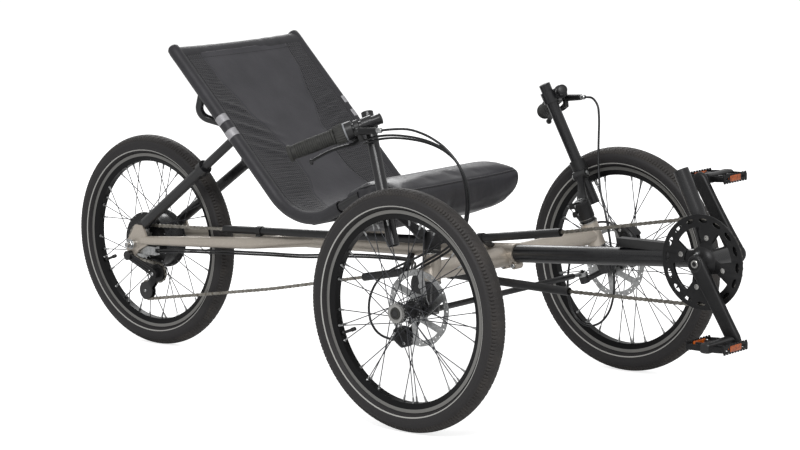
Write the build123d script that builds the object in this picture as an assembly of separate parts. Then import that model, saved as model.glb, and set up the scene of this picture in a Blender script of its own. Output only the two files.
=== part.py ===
from build123d import *
import os
from math import acos, asin, atan2, cos, degrees, hypot, pi, radians, sin, tan

os.makedirs("parts", exist_ok=True)

# Recumbent tadpole trike: two steered wheels in front, one driven wheel behind.
# Millimetres. +X is ahead, +Y is the rider's left, +Z is up, and the tyres stand on z = 0.
# The row's origin is on the ground under the middle of the whole trike. Stations named
# "ahead" are measured forward from the rear axle and placed by at(ahead, left, up).

RIGHT = -1
LEFT = 1
SIDES = {"right": RIGHT, "left": LEFT}

# --- wheels
wheelbase = 1117.0
track = 741.0
tyre_radius = 252.0
tyre_width = 48.0
tyre_wall = 4.5
shoulder_rise = 5.0
bead_lift = 0.5
rim_flange_radius = 209.0
rim_inner_radius = 190.0
rim_width = 26.0
rim_wall = 2.0
rim_well_depth = 7.0
rim_floor_width = 17.0
spoke_diameter = 2.0
spokes_per_flange = 18
spoke_rim_offset = 4.0
spoke_stagger = 1.4
bead_radius = rim_flange_radius + bead_lift

# --- front hubs
front_flange_radius = 22.0
front_flange_inboard = 20.0
front_flange_outboard = 24.0
hub_flange_thickness = 3.0
front_barrel_radius = 14.0
front_cap_radius = 20.5
front_hub_outboard = 38.0
front_hub_inboard = 33.0
rotor_radius = 80.0
rotor_thickness = 2.0
rotor_inboard = 37.5
rotor_web_width = 12.0
caliper_outboard = 9.0
caliper_inboard = 26.0
hub_cap_thickness = 8.0
hub_cap_inset = 5.0
rotor_seat_radius = 21.0
rotor_seat_overlap = 6.0
rotor_centre_radius = 26.0
rotor_bore = 14.0
rotor_webs = 6
rotor_web_root = 20.0
rotor_web_sweep = 25.0
rotor_web_thickness = 7.0
front_axle_radius = 7.0

# --- rear hub and sprocket
rear_flange_radius = 70.0
rear_flange_offset = 30.0
drum_radius = 64.0
drum_half_width = 33.0
hub_sleeve_radius = 14.0
hub_sleeve_right = 50.0
rear_hub_spacing = 135.0
rear_axle_radius = 6.0
rear_axle_nut_radius = 10.0
axle_overhang = 24.0
sprocket_radius = 36.8
sprocket_thickness = 2.0
sprocket_carrier_radius = 22.0
sprocket_carrier_beyond = 4.0
rear_axle_nut_thickness = 10.0

# --- steering geometry
kingpin_lean = 16.9
kingpin_caster = 11.9
kingpin_radius = 12.7
head_tube_radius = 19.5
head_tube_low = 296.0
head_tube_high = 349.0
steering_range = 30.0
arm_length = 62.0
tie_rod_up = 226.0
tie_rod_radius = 6.5
tie_rod_shank_radius = 4.5
rod_end_radius = 11.0
rod_end_thickness = 9.0
rod_end_reach = 36.0
rod_end_overlap = 2.0
ball_stud_radius = 3.0
open_stud_clearance = 5.0

# --- main frame
main_tube_radius = 19.05
main_tube_wall = 2.0
sleeve_radius = 22.25
boom_radius = 19.05
boom_wall = 2.0
stay_radius = 14.0
stay_end_radius = 10.0
stay_wall = 2.0
cross_tube_radius = 22.0
cross_tube_end_radius = 18.5
dropout_thickness = 6.0

# --- drivetrain
crank_length = 170.0
crank_angle = -59.0
bracket_beyond_axle = 507.5
bracket_ahead = wheelbase + bracket_beyond_axle
bracket_up = 352.0
chain_left = -45.0
chain_height = 8.6
chain_width = 6.4
chain_gap = 0.5
chainring_pitch_radius = 89.0
guard_radius = 96.5
pedal_half_length = 46.0

# --- fits
running_gap = 0.05
soft_gap = 0.4
seat_gap = 0.3
slip_gap = 0.3

# --- the row's origin
front_reach = bracket_ahead + crank_length * cos(radians(crank_angle)) + pedal_half_length
rear_axle_x = (tyre_radius - front_reach) / 2


def at(ahead, left, up):
    return Vector(rear_axle_x + ahead, left, up)


def rod(start, end, radius, bore=0.0):
    axis = end - start
    plane = Plane(origin=start, z_dir=axis)
    ends = (Align.CENTER, Align.CENTER, Align.MIN)
    body = plane * Cylinder(radius, axis.length, align=ends)
    if bore:
        body -= plane * Cylinder(bore, axis.length, align=ends)
    return body


def disc(centre, axis, radius, thickness, bore=0.0):
    plane = Plane(origin=centre, z_dir=axis)
    body = plane * Cylinder(radius, thickness)
    if bore:
        body -= plane * Cylinder(bore, thickness)
    return body


def taper(start, end, start_radius, end_radius):
    axis = end - start
    ends = (Align.CENTER, Align.CENTER, Align.MIN)
    return Plane(origin=start, z_dir=axis) * Cone(start_radius, end_radius, axis.length, align=ends)


def bent_tube(points, radii, radius, bore=0.0):
    path = FilletPolyline(*points, radius=radii)
    start = Plane(origin=path @ 0, z_dir=path % 0)
    section = Circle(radius)
    if bore:
        section -= Circle(bore)
    return sweep(start * section, path=path)


def save(node, shape):
    solids = shape.solids() if hasattr(shape, "solids") else ShapeList(shape).solids()
    export_step(Compound(children=list(solids)) if len(solids) > 1 else solids[0],
                f"parts/{node}.step")


AHEAD = Vector(1, 0, 0)
ACROSS = Vector(0, 1, 0)
UP = Vector(0, 0, 1)


def wheel_ring(centre, section):
    """Revolve a section drawn with X as radius and Y as the place across the wheel."""
    face = Plane(origin=centre, x_dir=(0, 0, 1), z_dir=(-1, 0, 0)) * section
    return revolve(face, Axis(centre, ACROSS), 360)


def casing(radius, middle, bead_half):
    """Outline of the tyre's round body with straight sides down to the beads."""
    shoulder = bead_radius + shoulder_rise
    half = (radius ** 2 - (middle - shoulder) ** 2) ** 0.5
    sides = [(shoulder, half), (bead_radius, bead_half), (bead_radius, -bead_half), (shoulder, -half)]
    crown = ThreePointArc((shoulder, -half), (middle + radius, 0), (shoulder, half))
    return make_face([crown, Polyline(*sides)])


def tyre(centre):
    radius = tyre_width / 2
    middle = tyre_radius - radius
    bead_out = rim_width / 2 - rim_wall - seat_gap
    section = casing(radius, middle, bead_out) - casing(radius - tyre_wall, middle, bead_out - tyre_wall)
    bead_low = rim_flange_radius - rim_well_depth + bead_lift
    bead_height = bead_radius + bead_lift - bead_low
    for hand in (-1, 1):
        bead = Rectangle(bead_height, tyre_wall)
        section += Pos(bead_low + bead_height / 2, hand * (bead_out - tyre_wall / 2)) * bead
    return wheel_ring(centre, section)


def rim(centre):
    half = rim_width / 2
    floor = rim_floor_width / 2
    well = rim_flange_radius - rim_well_depth
    outline = Polyline((rim_flange_radius, half), (well - 2, half), (rim_inner_radius, floor),
                       (rim_inner_radius, -floor), (well - 2, -half), (rim_flange_radius, -half),
                       (rim_flange_radius, -half + rim_wall), (well, -half + rim_wall),
                       (well, half - rim_wall), (rim_flange_radius, half - rim_wall), close=True)
    return wheel_ring(centre, make_face(outline))


def spokes(centre, flanges, flange_radius, crossing):
    """Straight spokes; flanges is a list of offsets across the wheel from its centre."""
    parts = []
    step = 360 / spokes_per_flange
    reach = rim_inner_radius - 0.8
    hub_reach = flange_radius + spoke_diameter / 2 + 0.2
    for index, flange in enumerate(flanges):
        hand = 1 if flange > 0 else -1
        for number in range(spokes_per_flange):
            lead = 1 if number % 2 else -1
            hub_angle = radians(step * number + index * step / 2)
            rim_angle = hub_angle + radians(lead * crossing)
            hub_y = flange + lead * spoke_stagger
            rim_y = hand * spoke_rim_offset + lead * spoke_stagger
            start = centre + Vector(hub_reach * cos(hub_angle), hub_y, hub_reach * sin(hub_angle))
            end = centre + Vector(reach * cos(rim_angle), rim_y, reach * sin(rim_angle))
            parts.append(rod(start, end, spoke_diameter / 2).solid())
    return parts


# --- wheels
rear_centre = at(0, 0, tyre_radius)
save("rear_tyre", tyre(rear_centre))
save("rear_rim", rim(rear_centre))

rear_bore = rear_axle_radius + running_gap
hub = disc(rear_centre, ACROSS, drum_radius, 2 * drum_half_width)
for hand in (-1, 1):
    flange_centre = rear_centre + ACROSS * (hand * rear_flange_offset)
    hub += disc(flange_centre, ACROSS, rear_flange_radius, hub_flange_thickness)
hub += rod(rear_centre - ACROSS * hub_sleeve_right, rear_centre + ACROSS * (rear_hub_spacing / 2 - slip_gap),
           hub_sleeve_radius)
hub -= disc(rear_centre, ACROSS, rear_bore, rear_hub_spacing)
save("rear_hub", hub)
save("rear_spokes", Compound(spokes(rear_centre, [-rear_flange_offset, rear_flange_offset],
                                    rear_flange_radius, 18)))

carrier_inner = drum_half_width + seat_gap
carrier_outer = sprocket_carrier_beyond - chain_left
carrier = rod(rear_centre - ACROSS * carrier_inner, rear_centre - ACROSS * carrier_outer,
              sprocket_carrier_radius)
carrier += disc(rear_centre + ACROSS * chain_left, ACROSS, sprocket_radius, sprocket_thickness)
carrier -= disc(rear_centre + ACROSS * chain_left, ACROSS, hub_sleeve_radius + seat_gap,
                2 * rear_hub_spacing)
save("rear_sprocket", carrier)

# --- kingpin lines, one for each front wheel
lean = tan(radians(kingpin_lean))
caster = tan(radians(kingpin_caster))


def kingpin_point(side, up):
    return at(wheelbase - caster * (up - tyre_radius), side * (track / 2 - lean * up), up)


def kingpin_axis(side):
    return (kingpin_point(side, 400) - kingpin_point(side, 300)).normalized()


for name, side in SIDES.items():
    centre = at(wheelbase, side * track / 2, tyre_radius)
    outward = ACROSS * side
    save(f"{name}_tyre", tyre(centre))
    save(f"{name}_rim", rim(centre))
    hub = rod(centre - outward * front_hub_inboard, centre + outward * front_hub_outboard,
              front_barrel_radius)
    for offset in (-front_flange_inboard, front_flange_outboard):
        hub += disc(centre + outward * offset, ACROSS, front_flange_radius, hub_flange_thickness)
    hub += disc(centre + outward * (front_hub_outboard - hub_cap_inset), ACROSS, front_cap_radius,
                hub_cap_thickness)
    hub += rod(centre - outward * (rotor_inboard - rotor_thickness / 2 - seat_gap),
               centre - outward * (front_hub_inboard - rotor_seat_overlap), rotor_seat_radius)
    hub -= disc(centre, ACROSS, front_axle_radius + running_gap, 2 * rotor_radius)
    save(f"{name}_hub", hub)
    flange_offsets = [-side * front_flange_inboard, side * front_flange_outboard]
    save(f"{name}_spokes", Compound(spokes(centre, flange_offsets, front_flange_radius, 55)))
    rotor_centre = centre - outward * rotor_inboard
    rotor = disc(rotor_centre, ACROSS, rotor_radius, rotor_thickness, rotor_radius - rotor_web_width)
    rotor += disc(rotor_centre, ACROSS, rotor_centre_radius, rotor_thickness, rotor_bore)
    for number in range(rotor_webs):
        angle = radians(360 / rotor_webs * number)
        inner = rotor_centre + Vector(cos(angle), 0, sin(angle)) * rotor_web_root
        turned = angle + radians(rotor_web_sweep)
        reach = rotor_radius - rotor_web_width / 2
        outer = rotor_centre + Vector(reach * cos(turned), 0, reach * sin(turned))
        web = Plane(origin=(inner + outer) / 2, x_dir=outer - inner, z_dir=ACROSS)
        rotor += web * Box((outer - inner).length, rotor_web_thickness, rotor_thickness)
    rotor -= disc(rotor_centre, ACROSS, rotor_bore, 2 * rotor_thickness)
    save(f"{name}_rotor", rotor)

# --- steering, one set for each side
# places beside a front wheel are (ahead, outboard, up) from the axle, the wheel's middle and the ground
bar_front = (-117.5, -66.5, 631.7)
bar_back = (-262.0, 52.5, 563.5)
upright_top = (-160.0, -74.5, 640.0)
upright_tyre_room = 7.5
upright_low = (-59.0, -tyre_width / 2 - upright_tyre_room, 377.0)
upright_radius = 12.7
bar_radius = 11.1
bar_tube_wall = 2.0
bar_clamp_at = 27.4
bar_clamp_half = 11.0
bar_clamp_radius = 15.0
upright_clamp_at = 28.0
upright_clamp_half = 13.0
upright_clamp_radius = 17.0
grip_radius = 16.0
grip_overhang = 4.0
grip_starts = {RIGHT: 101.0, LEFT: 62.0}
shifter_span = (59.0, 100.0)
shifter_radius = 19.0
shifter_stub_at = (70.0, 20.0, 13.0)
shifter_stub_end = (-149.0, -43.5, 585.0)
shifter_stub_radius = 7.2

lever_clamp_at = 50.0
lever_clamp_half = 5.0
lever_clamp_radius = 16.0
perch_out = 18.0
perch_radius = 6.5
perch_end = (-81.0, -30.5, 613.6)
blade_drop = 16.0
blade_knee_at = 80.0
blade_end_at = 165.0
blade_below = 28.0
blade_width, blade_thickness = 11.0, 4.0

stem_up = 376.0
stem_half = 19.0
stem_radius = 18.0
headset_radius = 16.5
headset_low = 351.0
collar_up = 455.0
collar_half = 20.0
collar_radius = 17.0
link_radius = 7.5
link_boss_radius = 11.0
link_boss_half = 16.0
kingpin_low, kingpin_high = 262.0, 396.5
kingpin_block_low = 236.0
kingpin_block_radius = 17.0
kingpin_block_gap = 1.0
kingpin_cut_beyond = 9.0
knuckle_axle_radius = 13.0
knuckle_axle_inboard = 8.0
stub_inside_cap = 1.0
steering_arm_radius = 6.5
steering_arm_foot_up = 4.0
stud_lug_length = 15.0
stud_arm_drop = 10.0
stud_below_eye = 1.0
stud_above_eye = 5.0

# (ahead, up) from the wheel's centre
caliper_places = {RIGHT: (-45.0, -65.0), LEFT: (45.0, 65.0)}
caliper_size = (46.0, 34.0)
caliper_turn = 35.0
caliper_mount_radius = 7.0
caliper_tab_inset = 6.0
caliper_tab_out = 18.0
caliper_rotor_room = 3.0
caliper_slot_room = 2.0
inlet_inset = 4.0
inlet_radius = 5.0
inlet_ends = {RIGHT: (-83.0, -40.5, 178.0), LEFT: (-1.0, -49.5, 340.0)}


def beside_wheel(side, point):
    ahead, outboard, up = point
    return at(wheelbase + ahead, side * (track / 2 + outboard), up)


def both_sides(side, point):
    ahead, left, up = point
    return at(ahead, side * left, up)


def tie_rod_pin(side):
    """Centre of a tie rod's eye: an arm that points at the middle of the rear axle."""
    foot = kingpin_point(side, tie_rod_up)
    inward = Vector(rear_axle_x - foot.X, -foot.Y, 0).normalized()
    return foot + inward * arm_length


def tie_rod_swing():
    """Axis and rate, against the right kingpin, that keep the rod's far eye on the left arm's stud."""
    pins = {side: tie_rod_pin(side) for side in (RIGHT, LEFT)}
    speeds = {side: kingpin_axis(side).cross(pins[side] - kingpin_point(side, tyre_radius))
              for side in (RIGHT, LEFT)}
    span = pins[LEFT] - pins[RIGHT]
    turn = span.cross(speeds[LEFT] - speeds[RIGHT]) * (1 / span.length ** 2)
    swing = kingpin_axis(RIGHT) - turn
    return swing.normalized(), swing.length


swing_axis, tie_rod_ratio = tie_rod_swing()


def stud_axis(side):
    return Vector(swing_axis.X, -side * swing_axis.Y, swing_axis.Z)


cable_ends = {}
for name, side in SIDES.items():
    outward = ACROSS * side
    centre = at(wheelbase, side * track / 2, tyre_radius)
    foot = kingpin_point(side, tyre_radius)
    stub_end = front_hub_outboard - stub_inside_cap

    # knuckle: kingpin, block under the head tube, axle, steering arm and brake tab
    knuckle = rod(kingpin_point(side, kingpin_low), kingpin_point(side, kingpin_high), kingpin_radius)
    block_top = kingpin_point(side, head_tube_low - kingpin_block_gap)
    knuckle += rod(kingpin_point(side, kingpin_block_low), block_top, kingpin_block_radius)
    knuckle += rod(foot, centre - outward * (rotor_inboard + knuckle_axle_inboard), knuckle_axle_radius)
    knuckle += rod(foot, centre + outward * stub_end, front_axle_radius)
    pin = tie_rod_pin(side)
    stud = stud_axis(side)
    lug_top = pin - stud * (rod_end_thickness / 2 + stud_below_eye)
    arm_foot = kingpin_point(side, kingpin_block_low + steering_arm_foot_up)
    knuckle += rod(arm_foot, lug_top - stud * stud_arm_drop, steering_arm_radius)
    knuckle += rod(lug_top - stud * stud_lug_length, lug_top, rod_end_radius)
    knuckle += rod(lug_top, pin + stud * (rod_end_thickness / 2 + stud_above_eye), ball_stud_radius)
    ahead, up = caliper_places[side]
    caliper_centre = centre - outward * rotor_inboard + Vector(ahead, 0, up)
    caliper_back = caliper_centre - outward * (caliper_inboard - caliper_tab_inset)
    tab = rod(foot + outward * caliper_tab_out, caliper_back, caliper_mount_radius)
    save(f"{name}_knuckle", knuckle + tab)

    caliper_middle = caliper_centre - outward * ((caliper_inboard - caliper_outboard) / 2)
    length, height = caliper_size
    width = caliper_inboard + caliper_outboard
    caliper = Pos(*caliper_middle) * Rot(0, caliper_turn, 0) * Box(length, width, height)
    inlet = caliper_middle - outward * inlet_inset
    caliper += rod(beside_wheel(side, inlet_ends[side]), inlet, inlet_radius)
    caliper -= disc(centre - outward * rotor_inboard, ACROSS, rotor_radius + caliper_rotor_room,
                    rotor_thickness + caliper_slot_room)
    caliper -= tab
    caliper -= rod(foot, centre - outward * (rotor_inboard + knuckle_axle_inboard), knuckle_axle_radius)
    save(f"{name}_caliper", caliper)
    cable_ends[side] = [caliper]

    # stem: a clamp and a spacer on the kingpin, a collar on the upright and a slim link between them
    top, low = beside_wheel(side, upright_top), beside_wheel(side, upright_low)
    slant = (top - low).normalized()
    kingpin = kingpin_axis(side)
    collar = low + slant * ((collar_up - low.Z) / slant.Z)
    stem_centre = kingpin_point(side, stem_up)
    stem = rod(stem_centre - kingpin * stem_half, stem_centre + kingpin * stem_half, stem_radius)
    stem += rod(kingpin_point(side, headset_low), stem_centre, headset_radius)
    stem += rod(collar - slant * collar_half, collar + slant * collar_half, collar_radius)
    link = (stem_centre - collar).normalized()
    boss = collar + link * (collar_radius + link_boss_radius / 2)
    across_link = link.cross(slant).normalized()
    stem += rod(boss - across_link * link_boss_half, boss + across_link * link_boss_half, link_boss_radius)
    stem += rod(collar, stem_centre, link_radius)
    stem_bore_top = kingpin_point(side, kingpin_high + kingpin_cut_beyond)
    stem -= rod(kingpin_point(side, kingpin_low), stem_bore_top, kingpin_radius)
    stem -= rod(low, top, upright_radius)
    save(f"{name}_stem", stem)
    save(f"{name}_upright", rod(low, top, upright_radius, upright_radius - bar_tube_wall))

    front, back = beside_wheel(side, bar_front), beside_wheel(side, bar_back)
    bar = (back - front).normalized()
    bar_seat = front + bar * bar_clamp_at
    upright_seat = top - slant * upright_clamp_at
    clamp = rod(bar_seat - bar * bar_clamp_half, bar_seat + bar * bar_clamp_half, bar_clamp_radius)
    clamp += rod(upright_seat - slant * upright_clamp_half, upright_seat + slant * upright_clamp_half,
                 upright_clamp_radius)
    clamp -= rod(low, top + slant, upright_radius)
    handlebar = rod(front, back, bar_radius) + clamp
    save(f"{name}_handlebar", handlebar - rod(front - bar, back + bar, bar_radius - bar_tube_wall))

    grip = rod(front + bar * grip_starts[side], back + bar * grip_overhang, grip_radius)
    grip -= rod(front, back, bar_radius)
    save(f"{name}_grip", grip)

    # brake lever: clamp on the bar, perch that points ahead and a blade under the grip
    below = (-UP + bar * bar.Z).normalized()
    outside = (AHEAD - bar * bar.X).normalized()
    hold = front + bar * lever_clamp_at
    perch = hold + outside * perch_out
    pivot = perch + below * blade_drop
    knee = front + bar * blade_knee_at + below * blade_below
    lever = rod(hold - bar * lever_clamp_half, hold + bar * lever_clamp_half, lever_clamp_radius)
    lever += rod(hold, perch, perch_radius + 1) + rod(perch, pivot, perch_radius - 1)
    lever += Pos(*perch) * Sphere(perch_radius + 1.5)
    lever += rod(perch, beside_wheel(side, perch_end), perch_radius)
    for start, end in ((pivot, knee), (knee - bar * 2, front + bar * blade_end_at + below * blade_below)):
        run = end - start
        blade = Plane(origin=(start + end) / 2, x_dir=run, z_dir=run.cross(bar.cross(below)))
        lever += blade * Box(run.length, blade_width, blade_thickness)
    lever -= rod(front, back, bar_radius)
    save(f"{name}_brake_lever", lever)
    cable_ends[side].append(lever)

    if side == RIGHT:
        shifter = rod(front + bar * shifter_span[0], front + bar * shifter_span[1], shifter_radius)
        along, down, inside = shifter_stub_at
        stub = front + bar * along + below * down - outside * inside
        shifter += rod(stub, beside_wheel(side, shifter_stub_end), shifter_stub_radius)
        shifter -= rod(front, back, bar_radius)
        save("twist_shifter", shifter)

# --- tie rod between the two steering arms
right_pin, left_pin = tie_rod_pin(RIGHT), tie_rod_pin(LEFT)
rod_ends = []
for side, pin in ((RIGHT, right_pin), (LEFT, left_pin)):
    stud = stud_axis(side)
    half = stud * (rod_end_thickness / 2)
    clearance = running_gap if side == RIGHT else open_stud_clearance
    eye = rod(pin - half, pin + half, rod_end_radius)
    inner = pin - ACROSS * (side * rod_end_reach)
    eye += rod(pin - ACROSS * (side * (rod_end_radius - rod_end_overlap)), inner, tie_rod_shank_radius)
    eye -= rod(pin - half * 3, pin + half * 3, ball_stud_radius + clearance)
    rod_ends.append(eye.solid())
save("tie_rod_ends", Compound(rod_ends))
save("tie_rod", rod(right_pin + ACROSS * rod_end_reach, left_pin - ACROSS * rod_end_reach, tie_rod_radius))

# --- main frame
stay_end = at(545, 0, 296.8)
main_rear, main_front = at(500, 0, 295.5), at(wheelbase - 75, 0, 313.0)
boom_line_rear, boom_line_front = at(wheelbase - 77, 0, 312.0), at(bracket_ahead, 0, bracket_up)
boom_axis = (boom_line_front - boom_line_rear).normalized()
sleeve_length, slit_length, slit_width = 70.5, 48.0, 2.4
lug_places = (39.0, 67.0)
lug_half, lug_radius, lug_drop = 11.0, 8.0, 3.0
boom_stop, boom_starts, rear_plug = 8.0, 12.0, 4.0
slit_beyond, slit_drop, slit_depth = 2.0, 2.0, 30.0
sleeve_end = boom_line_rear + boom_axis * sleeve_length
main_tube = rod(main_rear, main_front, main_tube_radius, main_tube_radius - main_tube_wall)
plug_end = main_rear + (main_front - main_rear).normalized() * rear_plug
main_tube += rod(main_rear, plug_end, main_tube_radius - 1)
sleeve = rod(boom_line_rear, sleeve_end, sleeve_radius)
lugs = []
for along in lug_places:
    middle = boom_line_rear + boom_axis * along - UP * (sleeve_radius + lug_drop)
    lugs.append(rod(middle - ACROSS * lug_half, middle + ACROSS * lug_half, lug_radius))
sleeve += lugs
sleeve -= rod(boom_line_rear + boom_axis * boom_stop, sleeve_end + boom_axis, boom_radius + running_gap)
slit = boom_line_rear + boom_axis * (sleeve_length - slit_length / 2 + slit_beyond)
slit -= UP * (sleeve_radius + slit_drop)
sleeve -= Plane(origin=slit, x_dir=boom_axis, z_dir=UP) * Box(slit_length, slit_width, slit_depth)
main_tube += sleeve
save("main_tube", main_tube)

bracket = at(bracket_ahead, 0, bracket_up)
shell_radius, shell_half = 20.5, 34.0
spindle_radius = 12.0
boom = rod(boom_line_rear + boom_axis * boom_starts, bracket, boom_radius, boom_radius - boom_wall)
boom += rod(bracket - ACROSS * shell_half, bracket + ACROSS * shell_half, shell_radius)
boom -= rod(bracket - ACROSS * shell_half, bracket + ACROSS * shell_half, spindle_radius + running_gap)
save("boom", boom)

boom_rail_at, boom_rail_rise, boom_rail_size = 402.0, 26.6, (120, 22, 18)
rail_middle = boom_line_rear + boom_axis * boom_rail_at + UP * boom_rail_rise
rail = Plane(origin=rail_middle, x_dir=boom_axis, z_dir=UP) * Box(*boom_rail_size)
rail -= rod(boom_line_rear, bracket, boom_radius)
save("boom_rail", rail)

post_top, post_bend = at(bracket_ahead - 86.5, 0, 526), at(bracket_ahead - 46.5, 0, 443)
post_radius, post_wall, post_bend_radius = 15.9, 2.0, 60.0
post_foot = bracket + Vector(-16, 0, 0)
post = bent_tube([post_top, post_bend, post_foot], post_bend_radius, post_radius, post_radius - post_wall)
post_turn = radians((post_bend - post_top).get_angle(post_foot - post_bend))
post_straight = (post_bend - post_top).length - post_bend_radius * tan(post_turn / 2)
post -= rod(boom_line_rear, bracket, boom_radius)
post -= rod(bracket - ACROSS * shell_half, bracket + ACROSS * shell_half, shell_radius)
save("accessory_post", max(post.solids(), key=lambda solid: solid.volume))

# --- cross member: two arms and a head tube at each end, welded to the main tube
cross = None
cross_root = at(wheelbase - 42, 0, 307.5)
for side in (RIGHT, LEFT):
    arm = taper(cross_root, kingpin_point(side, 318), cross_tube_radius, cross_tube_end_radius)
    head = rod(kingpin_point(side, head_tube_low), kingpin_point(side, head_tube_high), head_tube_radius)
    cross = arm + head if cross is None else cross + arm + head
cross -= rod(main_rear, main_front, main_tube_radius)
cross -= rod(boom_line_rear, sleeve_end, sleeve_radius)
for lug in lugs:
    cross -= lug
for side in (RIGHT, LEFT):
    cross -= rod(kingpin_point(side, 280), kingpin_point(side, 400), kingpin_radius + running_gap)
save("cross_member", cross)

# --- rear stays with their dropout plates
dropout_left = rear_hub_spacing / 2 + dropout_thickness / 2
eyelet = (-15, 258)
eyelet_radius = 2.6
stay_outside_dropout = 3.5
stay_rear = (30, rear_hub_spacing / 2 + stay_outside_dropout, 262)
stay_bend = (372, 60, 284)
stay_bend_radius, stay_bend_reach = 150.0, 26.0
stays = []
for side in (RIGHT, LEFT):
    start, corner = both_sides(side, stay_rear), both_sides(side, stay_bend)
    run = (corner - start).normalized()
    joint = corner - run * stay_bend_reach
    stay = bent_tube([joint, corner, stay_end], stay_bend_radius, stay_radius, stay_radius - stay_wall)
    stay += taper(start, joint, stay_end_radius, stay_radius)
    stay -= taper(start + run * 5, joint + run * 0.5, stay_end_radius - stay_wall, stay_radius - stay_wall)
    points = [(0, 222), (-22, 222), (-24, 240), (-20, 262), (-8, 276), (6, 298), (32, 298), (44, 268),
              (44, 252), (16, 238)]
    outline = make_face(Polyline(*[at(x, 0, z) for x, z in points], close=True))
    plate = Pos(0, side * dropout_left, 0) * extrude(outline, dropout_thickness / 2, ACROSS, both=True)
    stay += plate
    stay -= rod(main_rear, main_front, main_tube_radius)
    stay -= rod(at(0, side * 50, tyre_radius), at(0, side * 100, tyre_radius),
                rear_axle_radius + running_gap)
    stay -= rod(at(eyelet[0], side * 50, eyelet[1]), at(eyelet[0], side * 100, eyelet[1]), eyelet_radius)
    stays.append(max(stay.solids(), key=lambda solid: solid.volume))
save("rear_stays", Compound(stays))

axle_end = rear_hub_spacing / 2 + dropout_thickness
axle_tip = axle_end + axle_overhang
axle = rod(rear_centre - ACROSS * axle_tip, rear_centre + ACROSS * axle_tip, rear_axle_radius)
for hand in (-1, 1):
    nut = rear_centre + ACROSS * (hand * (axle_end + rear_axle_nut_thickness / 2))
    axle += disc(nut, ACROSS, rear_axle_nut_radius, rear_axle_nut_thickness)
interface_left, interface_width, interface_radius = -58.5, 14.0, 20.0
tongue_length, tongue_height, tongue_up = 64.0, 20.0, 238.0
axle += disc(rear_centre + ACROSS * interface_left, ACROSS, interface_radius, interface_width)
tongue = Box(tongue_length, interface_width, tongue_height)
axle += Pos(*at(tongue_length / 2, interface_left, tongue_up)) * tongue
save("rear_axle", axle)

# --- seat: bent rails, a bow behind the back, the sling and the cushion
rail_left = 195.0
rail_radius = 11.0
rail_wall = 2.0
top_bar_inset = 11.0
base_bar_radius = 9.0
bow_radius, bow_wall, bow_bend = 9.0, 2.0, 26.0
sling_beyond = 16.0
sling_side_cut = 12.0
sling_thickness = 4.0
sling_rise = 9.0
sleeve_wall = 2.6
seat_corner = (658.3, 353.9)
back_angle = 45.8
base_angle = 26.8
back_length = 518.0
base_length = 205.0
sling_base_length = 139.0
rail_bend = 140.0


def seat_point(side_left, along_back=0.0, along_base=0.0):
    ahead = seat_corner[0] - along_back * cos(radians(back_angle)) + along_base * cos(radians(base_angle))
    up = seat_corner[1] + along_back * sin(radians(back_angle)) + along_base * sin(radians(base_angle))
    return at(ahead, side_left, up)


rails = None
for side in (RIGHT, LEFT):
    left = side * rail_left
    tube = bent_tube([seat_point(left, back_length), seat_point(left), seat_point(left, 0, base_length)],
                     rail_bend, rail_radius, rail_radius - rail_wall)
    rails = tube if rails is None else rails + tube
top_bar_at = back_length - top_bar_inset
top_bar = rod(seat_point(-rail_left, top_bar_at), seat_point(rail_left, top_bar_at), rail_radius)
base_bar_centre = at(700, 0, 379)
base_bar = rod(base_bar_centre - ACROSS * rail_left, base_bar_centre + ACROSS * rail_left, base_bar_radius)
bow_points = [(372, rail_left, 640), (356, rail_left, 590), (415, 150, 566), (415, -150, 566),
              (356, -rail_left, 590), (372, -rail_left, 640)]
bow = bent_tube([at(*point) for point in bow_points], bow_bend, bow_radius, bow_radius - bow_wall)
bores = None
for side in (RIGHT, LEFT):
    left = side * rail_left
    bore = bent_tube([seat_point(left, back_length - 2 * top_bar_inset), seat_point(left),
                      seat_point(left, 0, base_length)], rail_bend, rail_radius - rail_wall)
    bores = bore if bores is None else bores + bore
save("seat_rails", rails + top_bar + base_bar + bow - bores)

sling_top = back_length + sling_beyond
path = FilletPolyline(seat_point(0, sling_top), seat_point(0), seat_point(0, 0, sling_base_length),
                      radius=rail_bend)
start = Plane(origin=path @ 0, z_dir=path % 0, x_dir=ACROSS)
band = Rectangle(2 * rail_left, sling_thickness)
rise = sling_rise if start.y_dir.Z > 0 else -sling_rise
sling = sweep(start * Pos(0, rise) * band, path=path)
for side in (RIGHT, LEFT):
    left = side * rail_left
    sleeve = bent_tube([seat_point(left, sling_top), seat_point(left),
                        seat_point(left, 0, sling_base_length)],
                       rail_bend, rail_radius + soft_gap + sleeve_wall)
    sling += sleeve
for side in (RIGHT, LEFT):
    left = side * rail_left
    sling -= bent_tube([seat_point(left, back_length), seat_point(left), seat_point(left, 0, base_length)],
                       rail_bend, rail_radius + soft_gap)
bar_cut = rail_left + sling_side_cut
sling -= rod(seat_point(-bar_cut, top_bar_at), seat_point(bar_cut, top_bar_at), rail_radius + soft_gap)
sling -= rod(base_bar_centre - ACROSS * rail_left, base_bar_centre + ACROSS * rail_left,
             base_bar_radius + soft_gap)
sling -= bent_tube([at(*point) for point in bow_points], bow_bend, bow_radius + soft_gap)
save("seat_sling", max(sling.solids(), key=lambda solid: solid.volume))

cushion_half = 200.0
cushion_points = [(793, 357), (814, 357.5), (869, 370), (920, 388), (957, 423), (966, 452), (958, 469),
                  (897, 476), (859, 472), (793, 449)]
outline = make_face(Polyline(*[at(x, 0, z) for x, z in cushion_points], close=True))
cushion = extrude(outline, cushion_half, ACROSS, both=True)
for side in (RIGHT, LEFT):
    left = side * rail_left
    cushion -= rod(seat_point(left, 0, 60), seat_point(left, 0, base_length + soft_gap),
                   rail_radius + soft_gap)
save("seat_cushion", cushion)

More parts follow.
